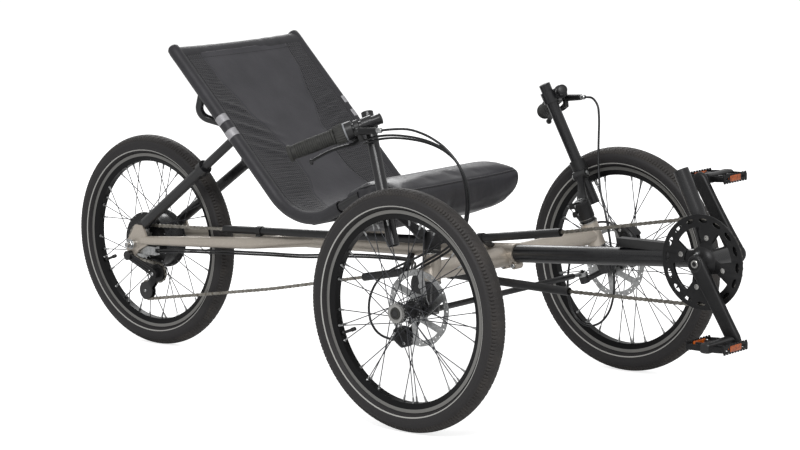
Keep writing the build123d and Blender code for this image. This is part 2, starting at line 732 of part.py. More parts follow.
mount_centre, mount_size = at(700, 0, 350), (54, 40, 60)
mount_block = Pos(*mount_centre) * Box(*mount_size)
mount_block -= rod(main_rear, main_front, main_tube_radius)
mount_block -= base_bar
save("seat_mount", max(mount_block.solids(), key=lambda solid: solid.volume))

# --- seat struts: a tube from each dropout with a sliding upper tube and a clamp
strut_lug = 7.0
strut_lug_radius = 11.5
strut_tube_start = 30.0
strut_low = (10, rear_hub_spacing / 2 - strut_lug / 2, 286)
strut_high = (415, 84, 566)
strut_slide = 292.0
strut_outer_radius, strut_outer_bore = 12.7, 10.7
strut_inner_radius, strut_inner_bore = 10.4, 8.6
strut_clamp_radius, strut_clamp_below, strut_clamp_above = 17.0, 14.0, 4.0
strut_inserted = 60.0
lug_beyond, lug_overlap, lug_box = 4.0, 8.0, (90, 60)
struts, clamps = [], []
for side in (RIGHT, LEFT):
    low, high = both_sides(side, strut_low), both_sides(side, strut_high)
    slant = (high - low).normalized()
    joint = low + slant * strut_slide
    lower = rod(low + slant * strut_tube_start, joint, strut_outer_radius, strut_outer_bore)
    lug = rod(low - slant * lug_beyond, low + slant * (strut_tube_start + lug_overlap), strut_lug_radius)
    lug &= Plane(origin=low, x_dir=Vector(slant.X, 0, slant.Z), z_dir=ACROSS) * Box(*lug_box, strut_lug)
    lower += lug
    struts.append(lower.solid())
    upper = rod(joint - slant * strut_inserted, high, strut_inner_radius, strut_inner_bore)
    upper -= bent_tube([at(*point) for point in bow_points[1:5]], bow_bend, bow_radius)
    struts.append(max(upper.solids(), key=lambda solid: solid.volume))
    clamp_low, clamp_top = joint - slant * strut_clamp_below, joint + slant * strut_clamp_above
    clamp = rod(clamp_low, clamp_top, strut_clamp_radius)
    clamp -= rod(clamp_low - slant, joint, strut_outer_radius)
    clamp -= rod(clamp_low - slant, clamp_top + slant, strut_inner_radius)
    clamps.append(clamp.solid())
save("seat_struts", Compound(struts))
save("strut_clamps", Compound(clamps))

# --- crankset
crank_dir = Vector(cos(radians(crank_angle)), 0, sin(radians(crank_angle)))
chainring_left = chain_left
chainring_thickness = 3.0
guard_left = chain_left - 6.5
boss_radius = 30.0
arm_inboard, arm_outboard = 62.0, 77.0
pedal_bore = 7.0
pedal_half_width = 44.0
crank_hub_radius, crank_tip_radius, crank_width = 17.0, 14.0, 28.0
crank_hub_inboard, crank_hub_beyond = 42.0, 3.0
ring_bore = 56.0
spider_arms, spider_reach, spider_width = 4, 66.0, 24.0
spider_boss_beyond = 4.0
pedal_height, pedal_rail, pedal_middle, pedal_middle_height = 20.0, 6.0, 26.0, 22.0
pedal_from_arm = 8.0

ring_radius = chainring_pitch_radius - chain_height / 2 - chain_gap
chainring = disc(bracket + ACROSS * chainring_left, ACROSS, ring_radius, chainring_thickness, ring_bore)
save("chainring", chainring)
guard = disc(bracket + ACROSS * guard_left, ACROSS, guard_radius, chainring_thickness, ring_bore)
save("chain_guard", guard)

spider_in = chainring_left - chainring_thickness / 2
spider_out = guard_left + chainring_thickness / 2
crank_reach = ACROSS * (arm_outboard + crank_hub_beyond)
spider_step = 360 / spider_arms
cranks = rod(bracket + ACROSS * spider_in, bracket - crank_reach, crank_hub_radius)
spider_end = bracket + ACROSS * (guard_left - spider_boss_beyond)
cranks += rod(bracket + ACROSS * spider_in, spider_end, boss_radius)
root = bracket + ACROSS * ((spider_in + spider_out) / 2)
for number in range(spider_arms):
    angle = radians(crank_angle + spider_step * (number + 0.5))
    tip = root + Vector(cos(angle), 0, sin(angle)) * spider_reach
    arm_plane = Plane(origin=(tip + root) / 2, x_dir=tip - root, z_dir=ACROSS)
    cranks += arm_plane * Box(spider_reach, spider_width, spider_in - spider_out)
cranks += rod(bracket - ACROSS * arm_outboard, bracket + crank_reach, spindle_radius)
cranks += rod(bracket + ACROSS * crank_hub_inboard, bracket + crank_reach, crank_hub_radius)
pedal_centres = {}
for side in (RIGHT, LEFT):
    reach = crank_dir * (crank_length if side == RIGHT else -crank_length)
    middle = side * (arm_inboard + arm_outboard) / 2
    hub_centre = bracket + ACROSS * middle
    tip_centre = hub_centre + reach
    thickness = arm_outboard - arm_inboard
    arm = disc(hub_centre, ACROSS, crank_hub_radius, thickness)
    arm += disc(tip_centre, ACROSS, crank_tip_radius, thickness)
    blade = Plane(origin=(hub_centre + tip_centre) / 2, x_dir=reach, z_dir=ACROSS)
    arm += blade * Box(crank_length, crank_width, thickness)
    cranks += arm
    pedal_centres[side] = tip_centre
for side in (RIGHT, LEFT):
    cranks -= disc(pedal_centres[side], ACROSS, pedal_bore + running_gap, 2 * thickness)
save("cranks", cranks)

for name, side in SIDES.items():
    outward = ACROSS * side
    tip = pedal_centres[side]
    half = (arm_outboard - arm_inboard) / 2
    cage_start = half + pedal_from_arm
    pedal = rod(tip - outward * half, tip + outward * (cage_start + 2 * pedal_half_width), pedal_bore)
    cage = tip + outward * (cage_start + pedal_half_width)
    length, width = 2 * pedal_half_length, 2 * pedal_half_width
    pedal += Pos(*cage) * (Box(length, width, pedal_height)
                           - Box(length - 2 * pedal_rail, width - 2 * pedal_rail, 2 * pedal_height))
    pedal += Pos(*cage) * Box(pedal_middle, width, pedal_middle_height)
    save(f"{name}_pedal", pedal)

# --- chain: one closed loop over its wheels and bends; turn is +1 for anticlockwise seen from the right
upper_jockey, lower_jockey = (52, 183), (11.5, 137)
jockey_radius = 16.0
idler_centre, idler_radius = (wheelbase - 237, 232), 30.0


def chain_on(radius):
    return radius + chain_height / 2 + chain_gap


def bend(ahead, up, slope, radius, turn, forward):
    """A long bend of the chain that touches the point (ahead, up) at the given slope."""
    heading = atan2(forward * slope, forward)
    return (ahead - turn * radius * sin(heading), up + turn * radius * cos(heading), radius, turn)


upper_bend, upper_bend_radius = (wheelbase - 181, 338.5), 2500.0
upper_tube_mouth = (wheelbase + 138, 380.2)
lower_tube_mouth = (wheelbase + 158, 258.5)
rear_bend_ahead, rear_bend_sag = 420, 7.0
rear_run_low = (lower_jockey[0], lower_jockey[1] - chain_on(jockey_radius))
rear_run_high = (idler_centre[0], idler_centre[1] + chain_on(idler_radius))
rear_slope = (rear_run_high[1] - rear_run_low[1]) / (rear_run_high[0] - rear_run_low[0])
rear_bend_up = rear_run_low[1] + rear_slope * (rear_bend_ahead - rear_run_low[0]) - rear_bend_sag

# ahead, up, radius at the chain's middle, turn
chain_route = [
    (0, tyre_radius, chain_on(sprocket_radius), -1),
    bend(*upper_bend, 0.089, upper_bend_radius, 1, 1),
    bend(*upper_tube_mouth, 0.15, 1500.0, 1, 1),
    (bracket_ahead, bracket_up, chainring_pitch_radius, -1),
    bend(*lower_tube_mouth, -0.004, 2000.0, -1, -1),
    (idler_centre[0], idler_centre[1], chain_on(idler_radius), 1),
    bend(rear_bend_ahead, rear_bend_up, rear_slope, 3000.0, -1, -1),
    (lower_jockey[0], lower_jockey[1], chain_on(jockey_radius), -1),
    (upper_jockey[0], upper_jockey[1], chain_on(jockey_radius), 1),
]


def tangent(first, second):
    """Ends of the straight run that leaves one wheel and meets the next, as (ahead, up) pairs."""
    x0, z0, r0, t0 = first
    x1, z1, r1, t1 = second
    dx, dz = x1 - x0, z1 - z0
    gap = hypot(dx, dz)
    heading = atan2(dz, dx)
    swing = asin((t1 * r1 - t0 * r0) / gap)
    run = heading - swing
    normal = (sin(run), -cos(run))
    return ((x0 + t0 * r0 * normal[0], z0 + t0 * r0 * normal[1]),
            (x1 + t1 * r1 * normal[0], z1 + t1 * r1 * normal[1]))


def chain_loop(route, shift, left):
    """Closed wire along the route, shifted to the left of its direction of travel."""
    moved = [(x, z, radius - turn * shift, turn) for x, z, radius, turn in route]
    runs = [tangent(moved[i], moved[(i + 1) % len(moved)]) for i in range(len(moved))]
    edges = []
    for i, (leave, meet) in enumerate(runs):
        x, z, radius, turn = moved[(i + 1) % len(moved)]
        away = runs[(i + 1) % len(runs)][0]
        start_angle = atan2(meet[1] - z, meet[0] - x)
        end_angle = atan2(away[1] - z, away[0] - x)
        sweep_angle = (end_angle - start_angle) * turn % (2 * pi) * turn
        half_angle = start_angle + sweep_angle / 2
        middle = (x + radius * cos(half_angle), z + radius * sin(half_angle))
        edges.append(Line(at(leave[0], left, leave[1]), at(meet[0], left, meet[1])))
        edges.append(ThreePointArc(at(meet[0], left, meet[1]), at(middle[0], left, middle[1]),
                                   at(away[0], left, away[1])))
    return Wire(edges)


outer = Face(chain_loop(chain_route, chain_height / 2, chain_left))
inner = Face(chain_loop(chain_route, -chain_height / 2, chain_left))
chain = extrude(outer, chain_width / 2, ACROSS, both=True)
chain -= extrude(inner, chain_width / 2, ACROSS, both=True)
save("chain", chain)

# --- chain tubes, clips and idler
chain_tube_radius, chain_tube_bore = 9.0, 7.4
upper_tube_span = (278, wheelbase + 145.5)
lower_tube_spans = ((wheelbase - 409, wheelbase - 279), (wheelbase - 185, wheelbase + 165))
rear_clip_at, low_clip_at = 392, wheelbase - 157
lower_clip_at, front_clip_at = wheelbase - 291, wheelbase - 69
clip_grip, clip_leg, clip_wall, clip_width = 0.1, 8.0, 2.0, 14.0
runs = [tangent(chain_route[i], chain_route[(i + 1) % len(chain_route)]) for i in range(len(chain_route))]
upper_rear_run, upper_run = runs[0], runs[1]
lower_run_front, lower_run_rear = runs[4], runs[5]


def run_height(run, ahead):
    (x0, z0), (x1, z1) = run
    return z0 + (z1 - z0) * (ahead - x0) / (x1 - x0)


def run_corner(first, second):
    (x0, z0), (x1, z1) = first
    (x2, z2), (x3, z3) = second
    slope_a, slope_b = (z1 - z0) / (x1 - x0), (z3 - z2) / (x3 - x2)
    ahead = (z2 - z0 + slope_a * x0 - slope_b * x2) / (slope_a - slope_b)
    return ahead, run_height(first, ahead)


bend_ahead, bend_up = run_corner(upper_rear_run, upper_run)
upper_start = at(upper_tube_span[0], chain_left, run_height(upper_rear_run, upper_tube_span[0]))
upper_end = at(upper_tube_span[1], chain_left, run_height(upper_run, upper_tube_span[1]))
tubes = [bent_tube([upper_start, at(bend_ahead, chain_left, bend_up), upper_end], upper_bend_radius,
                   chain_tube_radius, chain_tube_bore).solid()]
for run, span in ((lower_run_rear, lower_tube_spans[0]), (lower_run_front, lower_tube_spans[1])):
    tubes.append(rod(at(span[0], chain_left, run_height(run, span[0])),
                     at(span[1], chain_left, run_height(run, span[1])), chain_tube_radius,
                     chain_tube_bore).solid())
save("chain_tubes", Compound(tubes))


def clip(ring_centre, along, foot):
    """A band round a chain tube with a leg to the frame tube that carries it."""
    half = along * (clip_width / 2)
    band = rod(ring_centre - half, ring_centre + half, chain_tube_radius + clip_wall)
    leg = Plane(origin=(ring_centre + foot) / 2, x_dir=foot - ring_centre, z_dir=along)
    band += leg * Box((foot - ring_centre).length, clip_leg, clip_width)
    return band - rod(ring_centre - half * 3, ring_centre + half * 3, chain_tube_radius + clip_grip)


rear_clip_ring = at(rear_clip_at, chain_left, run_height(upper_rear_run, rear_clip_at))
rear_run = (at(500, chain_left, run_height(upper_rear_run, 500)) - rear_clip_ring).normalized()
rear_clip = clip(rear_clip_ring, rear_run, at(rear_clip_at, -56, 286)) - stays[0]
front_ring = at(front_clip_at, chain_left, run_height(upper_run, front_clip_at))
front_run = (upper_end - front_ring).normalized()
front_clip = clip(front_ring, front_run, at(front_clip_at, 0, 322))
front_clip -= rod(boom_line_rear, sleeve_end, sleeve_radius)
low_ring = at(low_clip_at, chain_left, run_height(lower_run_front, low_clip_at))
low_clip = clip(low_ring, AHEAD, at(low_clip_at, 0, 310)) - rod(main_rear, main_front, main_tube_radius)
lower_ring = at(lower_clip_at, chain_left, run_height(lower_run_rear, lower_clip_at))
lower_run = (at(lower_tube_spans[0][1], chain_left, run_height(lower_run_rear, lower_tube_spans[0][1]))
             - lower_ring).normalized()
lower_clip = clip(lower_ring, lower_run, at(lower_clip_at - 6, 0, 306))
lower_clip -= rod(main_rear, main_front, main_tube_radius)
clips = [max(piece.solids(), key=lambda solid: solid.volume)
         for piece in (rear_clip, front_clip, low_clip, lower_clip)]
save("tube_clips", Compound(clips))

idler = at(idler_centre[0], chain_left, idler_centre[1])
idler_width, idler_bolt, idler_bolt_end = 7.0, 4.0, 8.0
idler_post_radius, idler_post_left, idler_post_top = 8.0, 12.0, (-6, 300)
idler_boss_radius, idler_boss_end, idler_nut_radius, idler_side = 9.0, 20.0, 7.0, 4.0
save("idler", disc(idler, ACROSS, idler_radius, idler_width, idler_bolt + running_gap))
idler_arm = rod(idler + ACROSS * idler_post_left, at(idler_centre[0], *idler_post_top), idler_post_radius)
idler_arm += rod(idler + ACROSS * idler_boss_end, idler - ACROSS * idler_bolt_end, idler_bolt)
idler_arm += rod(idler + ACROSS * idler_side, idler + ACROSS * idler_boss_end, idler_boss_radius)
idler_arm += rod(idler - ACROSS * idler_bolt_end, idler - ACROSS * idler_side, idler_nut_radius)
idler_arm -= rod(main_rear, main_front, main_tube_radius)
save("idler_bracket", max(idler_arm.solids(), key=lambda solid: solid.volume))

# --- chain tensioner: a sprung arm from the right dropout with two jockey wheels between plates
hang = at(-12, -dropout_left - dropout_thickness / 2, 224)
cage_top = at(upper_jockey[0], chain_left, upper_jockey[1])
cage_low = at(lower_jockey[0], chain_left, lower_jockey[1])
plate_gap, plate_thickness, plate_radius, plate_width = 4.6, 1.8, 21.0, 20.0
knuckle_radius, knuckle_length, pivot_span = 11.0, 13.0, (20.0, 5.5)
arm_start, arm_end = hang - ACROSS * 8, cage_top - ACROSS * 14
arm_radius, arm_lifts = 3.5, ((-5.6, -7.0), (5.6, 7.0))
jockey_thickness, jockey_pin_radius, jockey_pin_beyond = 3.0, 3.0, 1.0
tensioner = rod(hang, hang - ACROSS * knuckle_length, knuckle_radius)
for start_lift, end_lift in arm_lifts:
    tensioner += rod(arm_start + UP * start_lift, arm_end + UP * end_lift, arm_radius)
tensioner += rod(cage_top - ACROSS * pivot_span[0], cage_top - ACROSS * pivot_span[1], knuckle_radius)
for hand in (-1, 1):
    offset = ACROSS * (hand * (plate_gap + plate_thickness / 2))
    for spot in (cage_top, cage_low):
        tensioner += disc(spot + offset, ACROSS, plate_radius, plate_thickness)
    blade = Plane(origin=(cage_top + cage_low) / 2 + offset, x_dir=cage_top - cage_low, z_dir=ACROSS)
    tensioner += blade * Box((cage_top - cage_low).length, plate_width, plate_thickness)
pin_reach = ACROSS * (plate_gap + jockey_pin_beyond)
for spot in (cage_top, cage_low):
    tensioner += rod(spot - pin_reach, spot + pin_reach, jockey_pin_radius)
    tensioner += disc(spot, ACROSS, jockey_radius, jockey_thickness)
save("chain_tensioner", tensioner)

# --- cables: each runs in straight lines joined by arcs as large as the lines allow
cable_radius = 2.5
arc_share = 0.45


def cable(name, points):
    lengths = [(b - a).length for a, b in zip(points, points[1:])]
    turns = [radians((b - a).get_angle(c - b)) for a, b, c in zip(points, points[1:], points[2:])]
    radii = [arc_share * min(pair) / tan(turn / 2) for pair, turn in zip(zip(lengths, lengths[1:]), turns)]
    tube = bent_tube(points, radii, cable_radius)
    path_length = FilletPolyline(*points, radius=radii).length
    share = tube.volume / (pi * cable_radius ** 2 * path_length)
    print(f"{name}: {path_length:.0f} long, tightest radius {min(radii):.0f}, "
          f"longest run {max(lengths):.0f}, sharpest turn {degrees(max(turns)):.0f}, "
          f"volume to section times length {share:.4f}")
    return tube


# (ahead, outboard, up) as for the steering: lever to caliper
right_brake_route = [
    perch_end, (-56, -34.5, 617), (-18, -42.5, 619), (22, -50.5, 608), (59, -57.5, 588), (89, -61.5, 560),
    (109, -63.5, 530), (119, -65, 496), (117, -67, 460), (97, -68, 427), (61, -69.5, 399), (20, -70.5, 375),
    (-24, -70.5, 352), (-61, -71.5, 336), (-95, -72.5, 321), (-127, -72.5, 304), (-150, -71.5, 281),
    (-163, -69.5, 255), (-164, -65.5, 228), (-154, -59.5, 204), (-132, -51.5, 187), (-107, -44.5, 180),
    inlet_ends[RIGHT],
]
left_brake_route = [
    perch_end, (-58.5, -33, 614.3), (-41, -36, 597.5), (-35, -41, 567), (-32, -48, 530), (-27, -57, 490),
    (-19, -67, 448),
    (-8, -76, 408), (14, -88, 368), (28, -94, 322), (36, -95.5, 276), (41, -95.5, 232), (40, -95.5, 192),
    (28, -95.5, 152), (2, -95.5, 122), (-32, -95.5, 110), (-64, -95.5, 122), (-84, -95.5, 152),
    (-90, -95.5, 192), (-88, -94, 232), (-82, -88, 272), (-72, -76, 308), (-50, -62, 334), (-24, -52.5, 342),
    inlet_ends[LEFT],
]
for side, name, route in ((RIGHT, "right_brake_cable", right_brake_route),
                          (LEFT, "left_brake_cable", left_brake_route)):
    tube = cable(name, [beside_wheel(side, point) for point in route])
    for piece in cable_ends[side]:
        tube -= piece
    save(name, tube)

# two shift cables side by side: (ahead, outboard, up) beside the right wheel from the shifter,
# then (ahead of the rear axle, right, up) to the rear hub
shift_front_route = [
    (-149, -40.3, 588.2), (-120, -40.5, 587), (-71, -43.5, 579), (-21, -49.5, 562), (23, -56.5, 532),
    (61, -62.5, 500), (88, -72.5, 463), (92, -77.5, 430), (77, -80.5, 402), (52, -80.5, 379),
    (25, -71.5, 360), (-7, -62.5, 342), (-41, -69.5, 324), (-73, -100.5, 309), (-107, -138.5, 303),
    (-143, -182.5, 299), (-179, -224.5, 297),
]
shift_rear_route = [
    (902, 100, 293), (868, 62, 290), (824, 38, 287), (772, 32, 285), (716, 32, 283), (660, 36, 280),
    (604, 42, 276), (548, 50, 270), (492, 54, 267), (436, 58, 266), (380, 61, 263.4), (324, 63.5, 261),
    (268, 65, 257), (212, 67, 254.5), (158, 68, 251), (110, 66, 246), (tongue_length, 62, 241),
]
pair_shift = Vector(0, 6.4, -6.4)
shift_pair = []
for number in range(2):
    points = [beside_wheel(RIGHT, point) + pair_shift * number for point in shift_front_route]
    points += [both_sides(RIGHT, point) + pair_shift * number for point in shift_rear_route]
    shift_pair.append((cable("shift_cable", points) - shifter - axle).solid())
save("shift_cable", Compound(shift_pair))
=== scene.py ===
import bpy
import bmesh
from math import acos, asin, atan2, cos, hypot, pi, radians, sin, sqrt, tan, tau
from mathutils import Matrix, Vector
from mathutils import noise as fieldNoise


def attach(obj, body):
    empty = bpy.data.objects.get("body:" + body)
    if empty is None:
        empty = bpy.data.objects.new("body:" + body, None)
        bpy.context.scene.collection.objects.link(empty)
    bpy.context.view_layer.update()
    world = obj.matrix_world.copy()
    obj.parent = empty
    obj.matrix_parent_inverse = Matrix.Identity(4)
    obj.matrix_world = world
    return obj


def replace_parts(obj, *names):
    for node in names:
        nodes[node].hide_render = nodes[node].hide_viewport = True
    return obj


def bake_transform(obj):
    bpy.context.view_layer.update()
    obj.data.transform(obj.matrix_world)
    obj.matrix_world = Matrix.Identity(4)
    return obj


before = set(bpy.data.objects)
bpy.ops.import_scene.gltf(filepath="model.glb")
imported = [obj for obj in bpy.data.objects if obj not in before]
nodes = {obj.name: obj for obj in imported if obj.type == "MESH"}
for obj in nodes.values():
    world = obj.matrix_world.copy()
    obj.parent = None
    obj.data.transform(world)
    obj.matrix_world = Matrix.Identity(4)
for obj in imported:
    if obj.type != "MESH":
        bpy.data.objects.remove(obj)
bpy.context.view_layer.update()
scene = bpy.context.scene
mm = 0.001
print("frame loaded:", len(nodes), "nodes")

trike = {  # the trike's own main points, in mm, as the frame has them
    "rearHub": (-753.03, 0.0, 252.0),
    "rightHub": (363.97, -370.5, 252.0),
    "leftHub": (363.97, 370.5, 252.0),
    "bracket": (871.47, 0.0, 352.0),
    "crankAngle": -59.0,
    "kingpinLean": 16.9,
    "kingpinCaster": 11.9,
}
sides = {"right": -1, "left": 1}


def at(x, y, z):  # a point given in mm
    return Vector((x * mm, y * mm, z * mm))


def besideWheel(side, ahead, outboard, up):  # measured from a front hub, and up from the ground
    hub = trike["leftHub"]
    return at(hub[0] + ahead, side * (hub[1] + outboard), up)


def fromRear(ahead, left, up):  # measured ahead of the rear axle
    return at(trike["rearHub"][0] + ahead, left, up)


# camera and studio
studio = {
    "cameraPlace": (4111.6, -4628.95, 1312.25),  # mm
    "turn": 41.44,  # degrees about the vertical
    "tilt": 81.15,
    "roll": -1.563,
    "lens": 127.63,
    "floorColour": "e9e9e9",
    "worldFill": 0.40,  # how much the white room lights the trike
    "mirrored": 0.25,  # how much more of it shows in glossy paint
    "floorLift": 0.75,
    # place and aim in metres, size in metres, power in watts
    "keyLamp": ((2.6, -3.4, 4.2), (0, 0, 0.3), (3.2, 2.2), 165.0),
    "rimLamp": ((-3.2, 2.6, 3.0), (0, 0, 0.3), (2.4, 1.6), 60.0),
}


def linear(hexColour):  # sRGB hex to the linear colour that Blender's sockets take
    values = [int(hexColour[i:i + 2], 16) / 255 for i in (0, 2, 4)]
    return [v / 12.92 if v <= 0.04045 else ((v + 0.055) / 1.055) ** 2.4 for v in values] + [1.0]


def addNode(tree, kind, settings=None, links=None):
    node = tree.nodes.new(kind)
    for key, value in (settings or {}).items():
        if isinstance(key, int) or key in node.inputs:
            node.inputs[key].default_value = value
        else:
            setattr(node, key, value)
    for key, source in (links or {}).items():
        tree.links.new(source, node.inputs[key])
    return node


def calc(tree, operation, *values):  # arithmetic on numbers and sockets
    numbers = {i: v for i, v in enumerate(values) if isinstance(v, (int, float))}
    links = {i: v for i, v in enumerate(values) if i not in numbers}
    return addNode(tree, "ShaderNodeMath", {"operation": operation, **numbers}, links).outputs[0]


def mapped(tree, value, fromMin=0.0, fromMax=1.0, toMin=0.0, toMax=1.0):
    return addNode(tree, "ShaderNodeMapRange", {"From Min": fromMin, "From Max": fromMax, "To Min": toMin,
        "To Max": toMax}, {"Value": value}).outputs[0]


def mixed(tree, share, low, high):  # each colour is an sRGB hex or a socket
    colours = {6: low, 7: high}
    settings = {i: linear(c) for i, c in colours.items() if isinstance(c, str)}
    links = {i: c for i, c in colours.items() if i not in settings}
    return addNode(tree, "ShaderNodeMix", {"data_type": "RGBA", **settings}, {0: share, **links}).outputs[2]


def cloudy(tree, place, size, detail, distortion=0.0):  # size in mm
    return addNode(tree, "ShaderNodeTexNoise", {"Scale": 1 / (size * mm), "Detail": detail,
        "Distortion": distortion}, {"Vector": place}).outputs["Fac"]


def embossed(tree, height, strength, distance, under=None):  # distance in mm
    return addNode(tree, "ShaderNodeBump", {"Strength": strength, "Distance": distance * mm},
                   {"Height": height, **({"Normal": under} if under else {})}).outputs[0]


def surfaced(tree, colour, rough, normal, settings):  # the material's surface; rough is a number or a socket
    links = {"Base Color": colour, "Normal": normal}
    if isinstance(rough, float):
        settings = {**settings, "Roughness": rough}
    else:
        links["Roughness"] = rough
    skin = addNode(tree, "ShaderNodeBsdfPrincipled", settings, links)
    addNode(tree, "ShaderNodeOutputMaterial", links={"Surface": skin.outputs[0]})


def emptyMaterial(name):
    material = bpy.data.materials.new(name)
    material.use_nodes = True
    material.node_tree.nodes.clear()
    return material, material.node_tree


def setCamera():
    camera = bpy.data.objects.new("camera", bpy.data.cameras.new("camera"))
    scene.collection.objects.link(camera)
    camera.data.sensor_width = 36
    camera.data.lens = studio["lens"]
    camera.data.clip_end = 60
    camera.matrix_world = (Matrix.Translation(at(*studio["cameraPlace"]))
                           @ Matrix.Rotation(radians(studio["turn"]), 4, "Z")
                           @ Matrix.Rotation(radians(studio["tilt"]), 4, "X")
                           @ Matrix.Rotation(radians(studio["roll"]), 4, "Z"))
    scene.camera = camera


def softLamp(name, place, target, size, power):
    lamp = bpy.data.objects.new(name, bpy.data.lights.new(name, "AREA"))
    scene.collection.objects.link(lamp)
    lamp.data.shape = "RECTANGLE"
    lamp.data.size, lamp.data.size_y = size
    lamp.data.energy = power
    lamp.location = place
    lamp.rotation_euler = (Vector(target) - Vector(place)).to_track_quat("-Z", "Y").to_euler()


def seenDirectly(tree):  # 1 where the camera looks straight at the white
    ray = addNode(tree, "ShaderNodeLightPath")
    return calc(tree, "MAXIMUM", ray.outputs["Is Camera Ray"], ray.outputs["Is Transmission Ray"]), ray


def setStudio():
    world = bpy.data.worlds.new("studioWorld")
    scene.world = world
    world.use_nodes = True
    tree = world.node_tree
    tree.nodes.clear()
    seen, ray = seenDirectly(tree)
    dim = calc(tree, "MULTIPLY", ray.outputs["Is Glossy Ray"], studio["mirrored"])
    shown = calc(tree, "MAXIMUM", seen, dim)
    strength = calc(tree, "MULTIPLY_ADD", shown, 1 - studio["worldFill"], studio["worldFill"])
    room = addNode(tree, "ShaderNodeBackground", {"Color": linear("ffffff")}, {"Strength": strength})
    addNode(tree, "ShaderNodeOutputWorld", links={"Surface": room.outputs[0]})

    floorMesh = bpy.data.meshes.new("studioFloor")
    floorMesh.from_pydata([(-30, -30, 0), (30, -30, 0), (30, 30, 0), (-30, 30, 0)], [], [(0, 1, 2, 3)])
    floor = bpy.data.objects.new("studioFloor", floorMesh)
    scene.collection.objects.link(floor)
    paper, tree = emptyMaterial("paperSweep")  # matt white background paper
    lift = calc(tree, "MULTIPLY", seenDirectly(tree)[0], studio["floorLift"])
    matt = addNode(tree, "ShaderNodeBsdfDiffuse", {"Color": linear(studio["floorColour"])})
    glow = addNode(tree, "ShaderNodeEmission", {"Color": linear("ffffff")}, {"Strength": lift})
    both = addNode(tree, "ShaderNodeAddShader", links={0: matt.outputs[0], 1: glow.outputs[0]})
    addNode(tree, "ShaderNodeOutputMaterial", links={"Surface": both.outputs[0]})
    floorMesh.materials.append(paper)

    for name in ("keyLamp", "rimLamp"):
        softLamp(name, *studio[name])
    scene.view_settings.view_transform = "Standard"


setCamera()
setStudio()
print("camera and studio set")

# finishes: each one is a recipe read by makeFinish, with pattern sizes in mm
finishes = {
    # mild steel tube under champagne metallic powder coat: soft pearly sheen, fine flake, faint orange peel
    "champagnePowderCoat": {"base": "c9c0b4", "second": "b3a99c", "patch": 160, "patchMix": 0.35,
                            "metallic": 0.45, "rough": 0.36, "roughSpread": 0.08, "coat": 0.25,
                            "grain": 1.1, "grainBump": 0.018, "fleck": "e6ded2", "fleckSize": 1.4},
    # steel tube under gloss black powder coat: deep black with a soft bright line along each tube
    "blackPowderCoat": {"base": "1b1b1d", "second": "262628", "patch": 120, "patchMix": 0.5,
                        "rough": 0.30, "roughSpread": 0.10, "coat": 0.3, "grain": 1.6, "grainBump": 0.03},
    # black anodised aluminium, bead blasted before dyeing: satin charcoal, with a painted highlight that
    # greys its edges
    "blackAnodised": {"base": "232324", "second": "303031", "patch": 40, "patchMix": 0.5, "metallic": 0.55,
                      "rough": 0.40, "roughSpread": 0.10, "grain": 0.7, "grainBump": 0.02, "edge": "5a5a5a"},
    # aluminium, turned and clear anodised: bright silver with fine turning lines
    "clearAnodised": {"base": "b9b8b5", "second": "9c9b99", "patch": 14, "patchMix": 0.5, "metallic": 1.0,
                      "rough": 0.27, "roughSpread": 0.12, "grain": 0.5, "grainBump": 0.02},
    # zinc plated steel fasteners: bluish silver, slightly cloudy
    "zincPlated": {"base": "c3c4c4", "second": "8f9090", "patch": 6, "patchMix": 0.6, "metallic": 1.0,
                   "rough": 0.30, "roughSpread": 0.15, "grain": 0.4, "grainBump": 0.02},
    # blackened steel screws and small springs: dark oily grey
    "blackOxide": {"base": "2a2a2b", "second": "3a3a3b", "patch": 5, "patchMix": 0.6, "metallic": 0.8,
                   "rough": 0.42, "roughSpread": 0.15, "grain": 0.4, "grainBump": 0.02},
    # drawn stainless wire, dark from its black finish: thin grey lines with a bright edge
    "stainlessWire": {"base": "55565a", "second": "3c3d40", "patch": 30, "patchMix": 0.5, "metallic": 1.0,
                      "rough": 0.32, "roughSpread": 0.1, "grain": 0.5, "grainBump": 0.01},
    # nickel plated chain steel with a film of oil: grey with brown in the joints
    "nickelChain": {"base": "a5a29b", "second": "6a645a", "patch": 7, "patchMix": 0.7, "metallic": 1.0,
                    "rough": 0.34, "roughSpread": 0.2, "grain": 0.6, "grainBump": 0.03},
    # moulded nylon and polyethylene: black with a broad grey sheen
    "mouldedNylon": {"base": "1e1e1f", "second": "2a2a2b", "patch": 50, "patchMix": 0.5, "rough": 0.38,
                     "roughSpread": 0.1, "grain": 0.5, "grainBump": 0.03},
    # grey moulded nylon: the shifter's ring
    "greyNylon": {"base": "8d8f92", "second": "7a7c80", "patch": 12, "patchMix": 0.5, "rough": 0.42,
                  "roughSpread": 0.1, "grain": 0.4, "grainBump": 0.02},
    # soft moulded rubber grips: near black, dull, with a painted highlight on the raised ribs
    "gripRubber": {"base": "252524", "second": "3a3a36", "patch": 9, "patchMix": 0.6, "rough": 0.66,
                   "roughSpread": 0.1, "grain": 0.8, "grainBump": 0.06, "edge": "4a4a46"},
    # PVC cable housing, extruded: smooth black, glossy line along it
    "cableHousing": {"base": "17181a", "second": "222325", "patch": 30, "patchMix": 0.5, "rough": 0.33,
                     "roughSpread": 0.08, "grain": 0.6, "grainBump": 0.01},
    # powder coated satin drum of the hub: black with a broad soft shine
    "hubShellLacquer": {"base": "1f1f20", "second": "2b2b2c", "patch": 30, "patchMix": 0.5, "metallic": 0.2,
                        "rough": 0.28, "roughSpread": 0.08, "grain": 0.9, "grainBump": 0.02},
    # retroreflective glass bead tape: silver grey with a fine glitter
    "beadTape": {"base": "b4b3b6", "second": "98979b", "patch": 8, "patchMix": 0.5, "metallic": 0.35,
                 "rough": 0.5, "roughSpread": 0.1, "grain": 0.9, "grainBump": 0.10, "fleck": "dcdcde",
                 "fleckSize": 1.0},
}
madeFinishes = {}


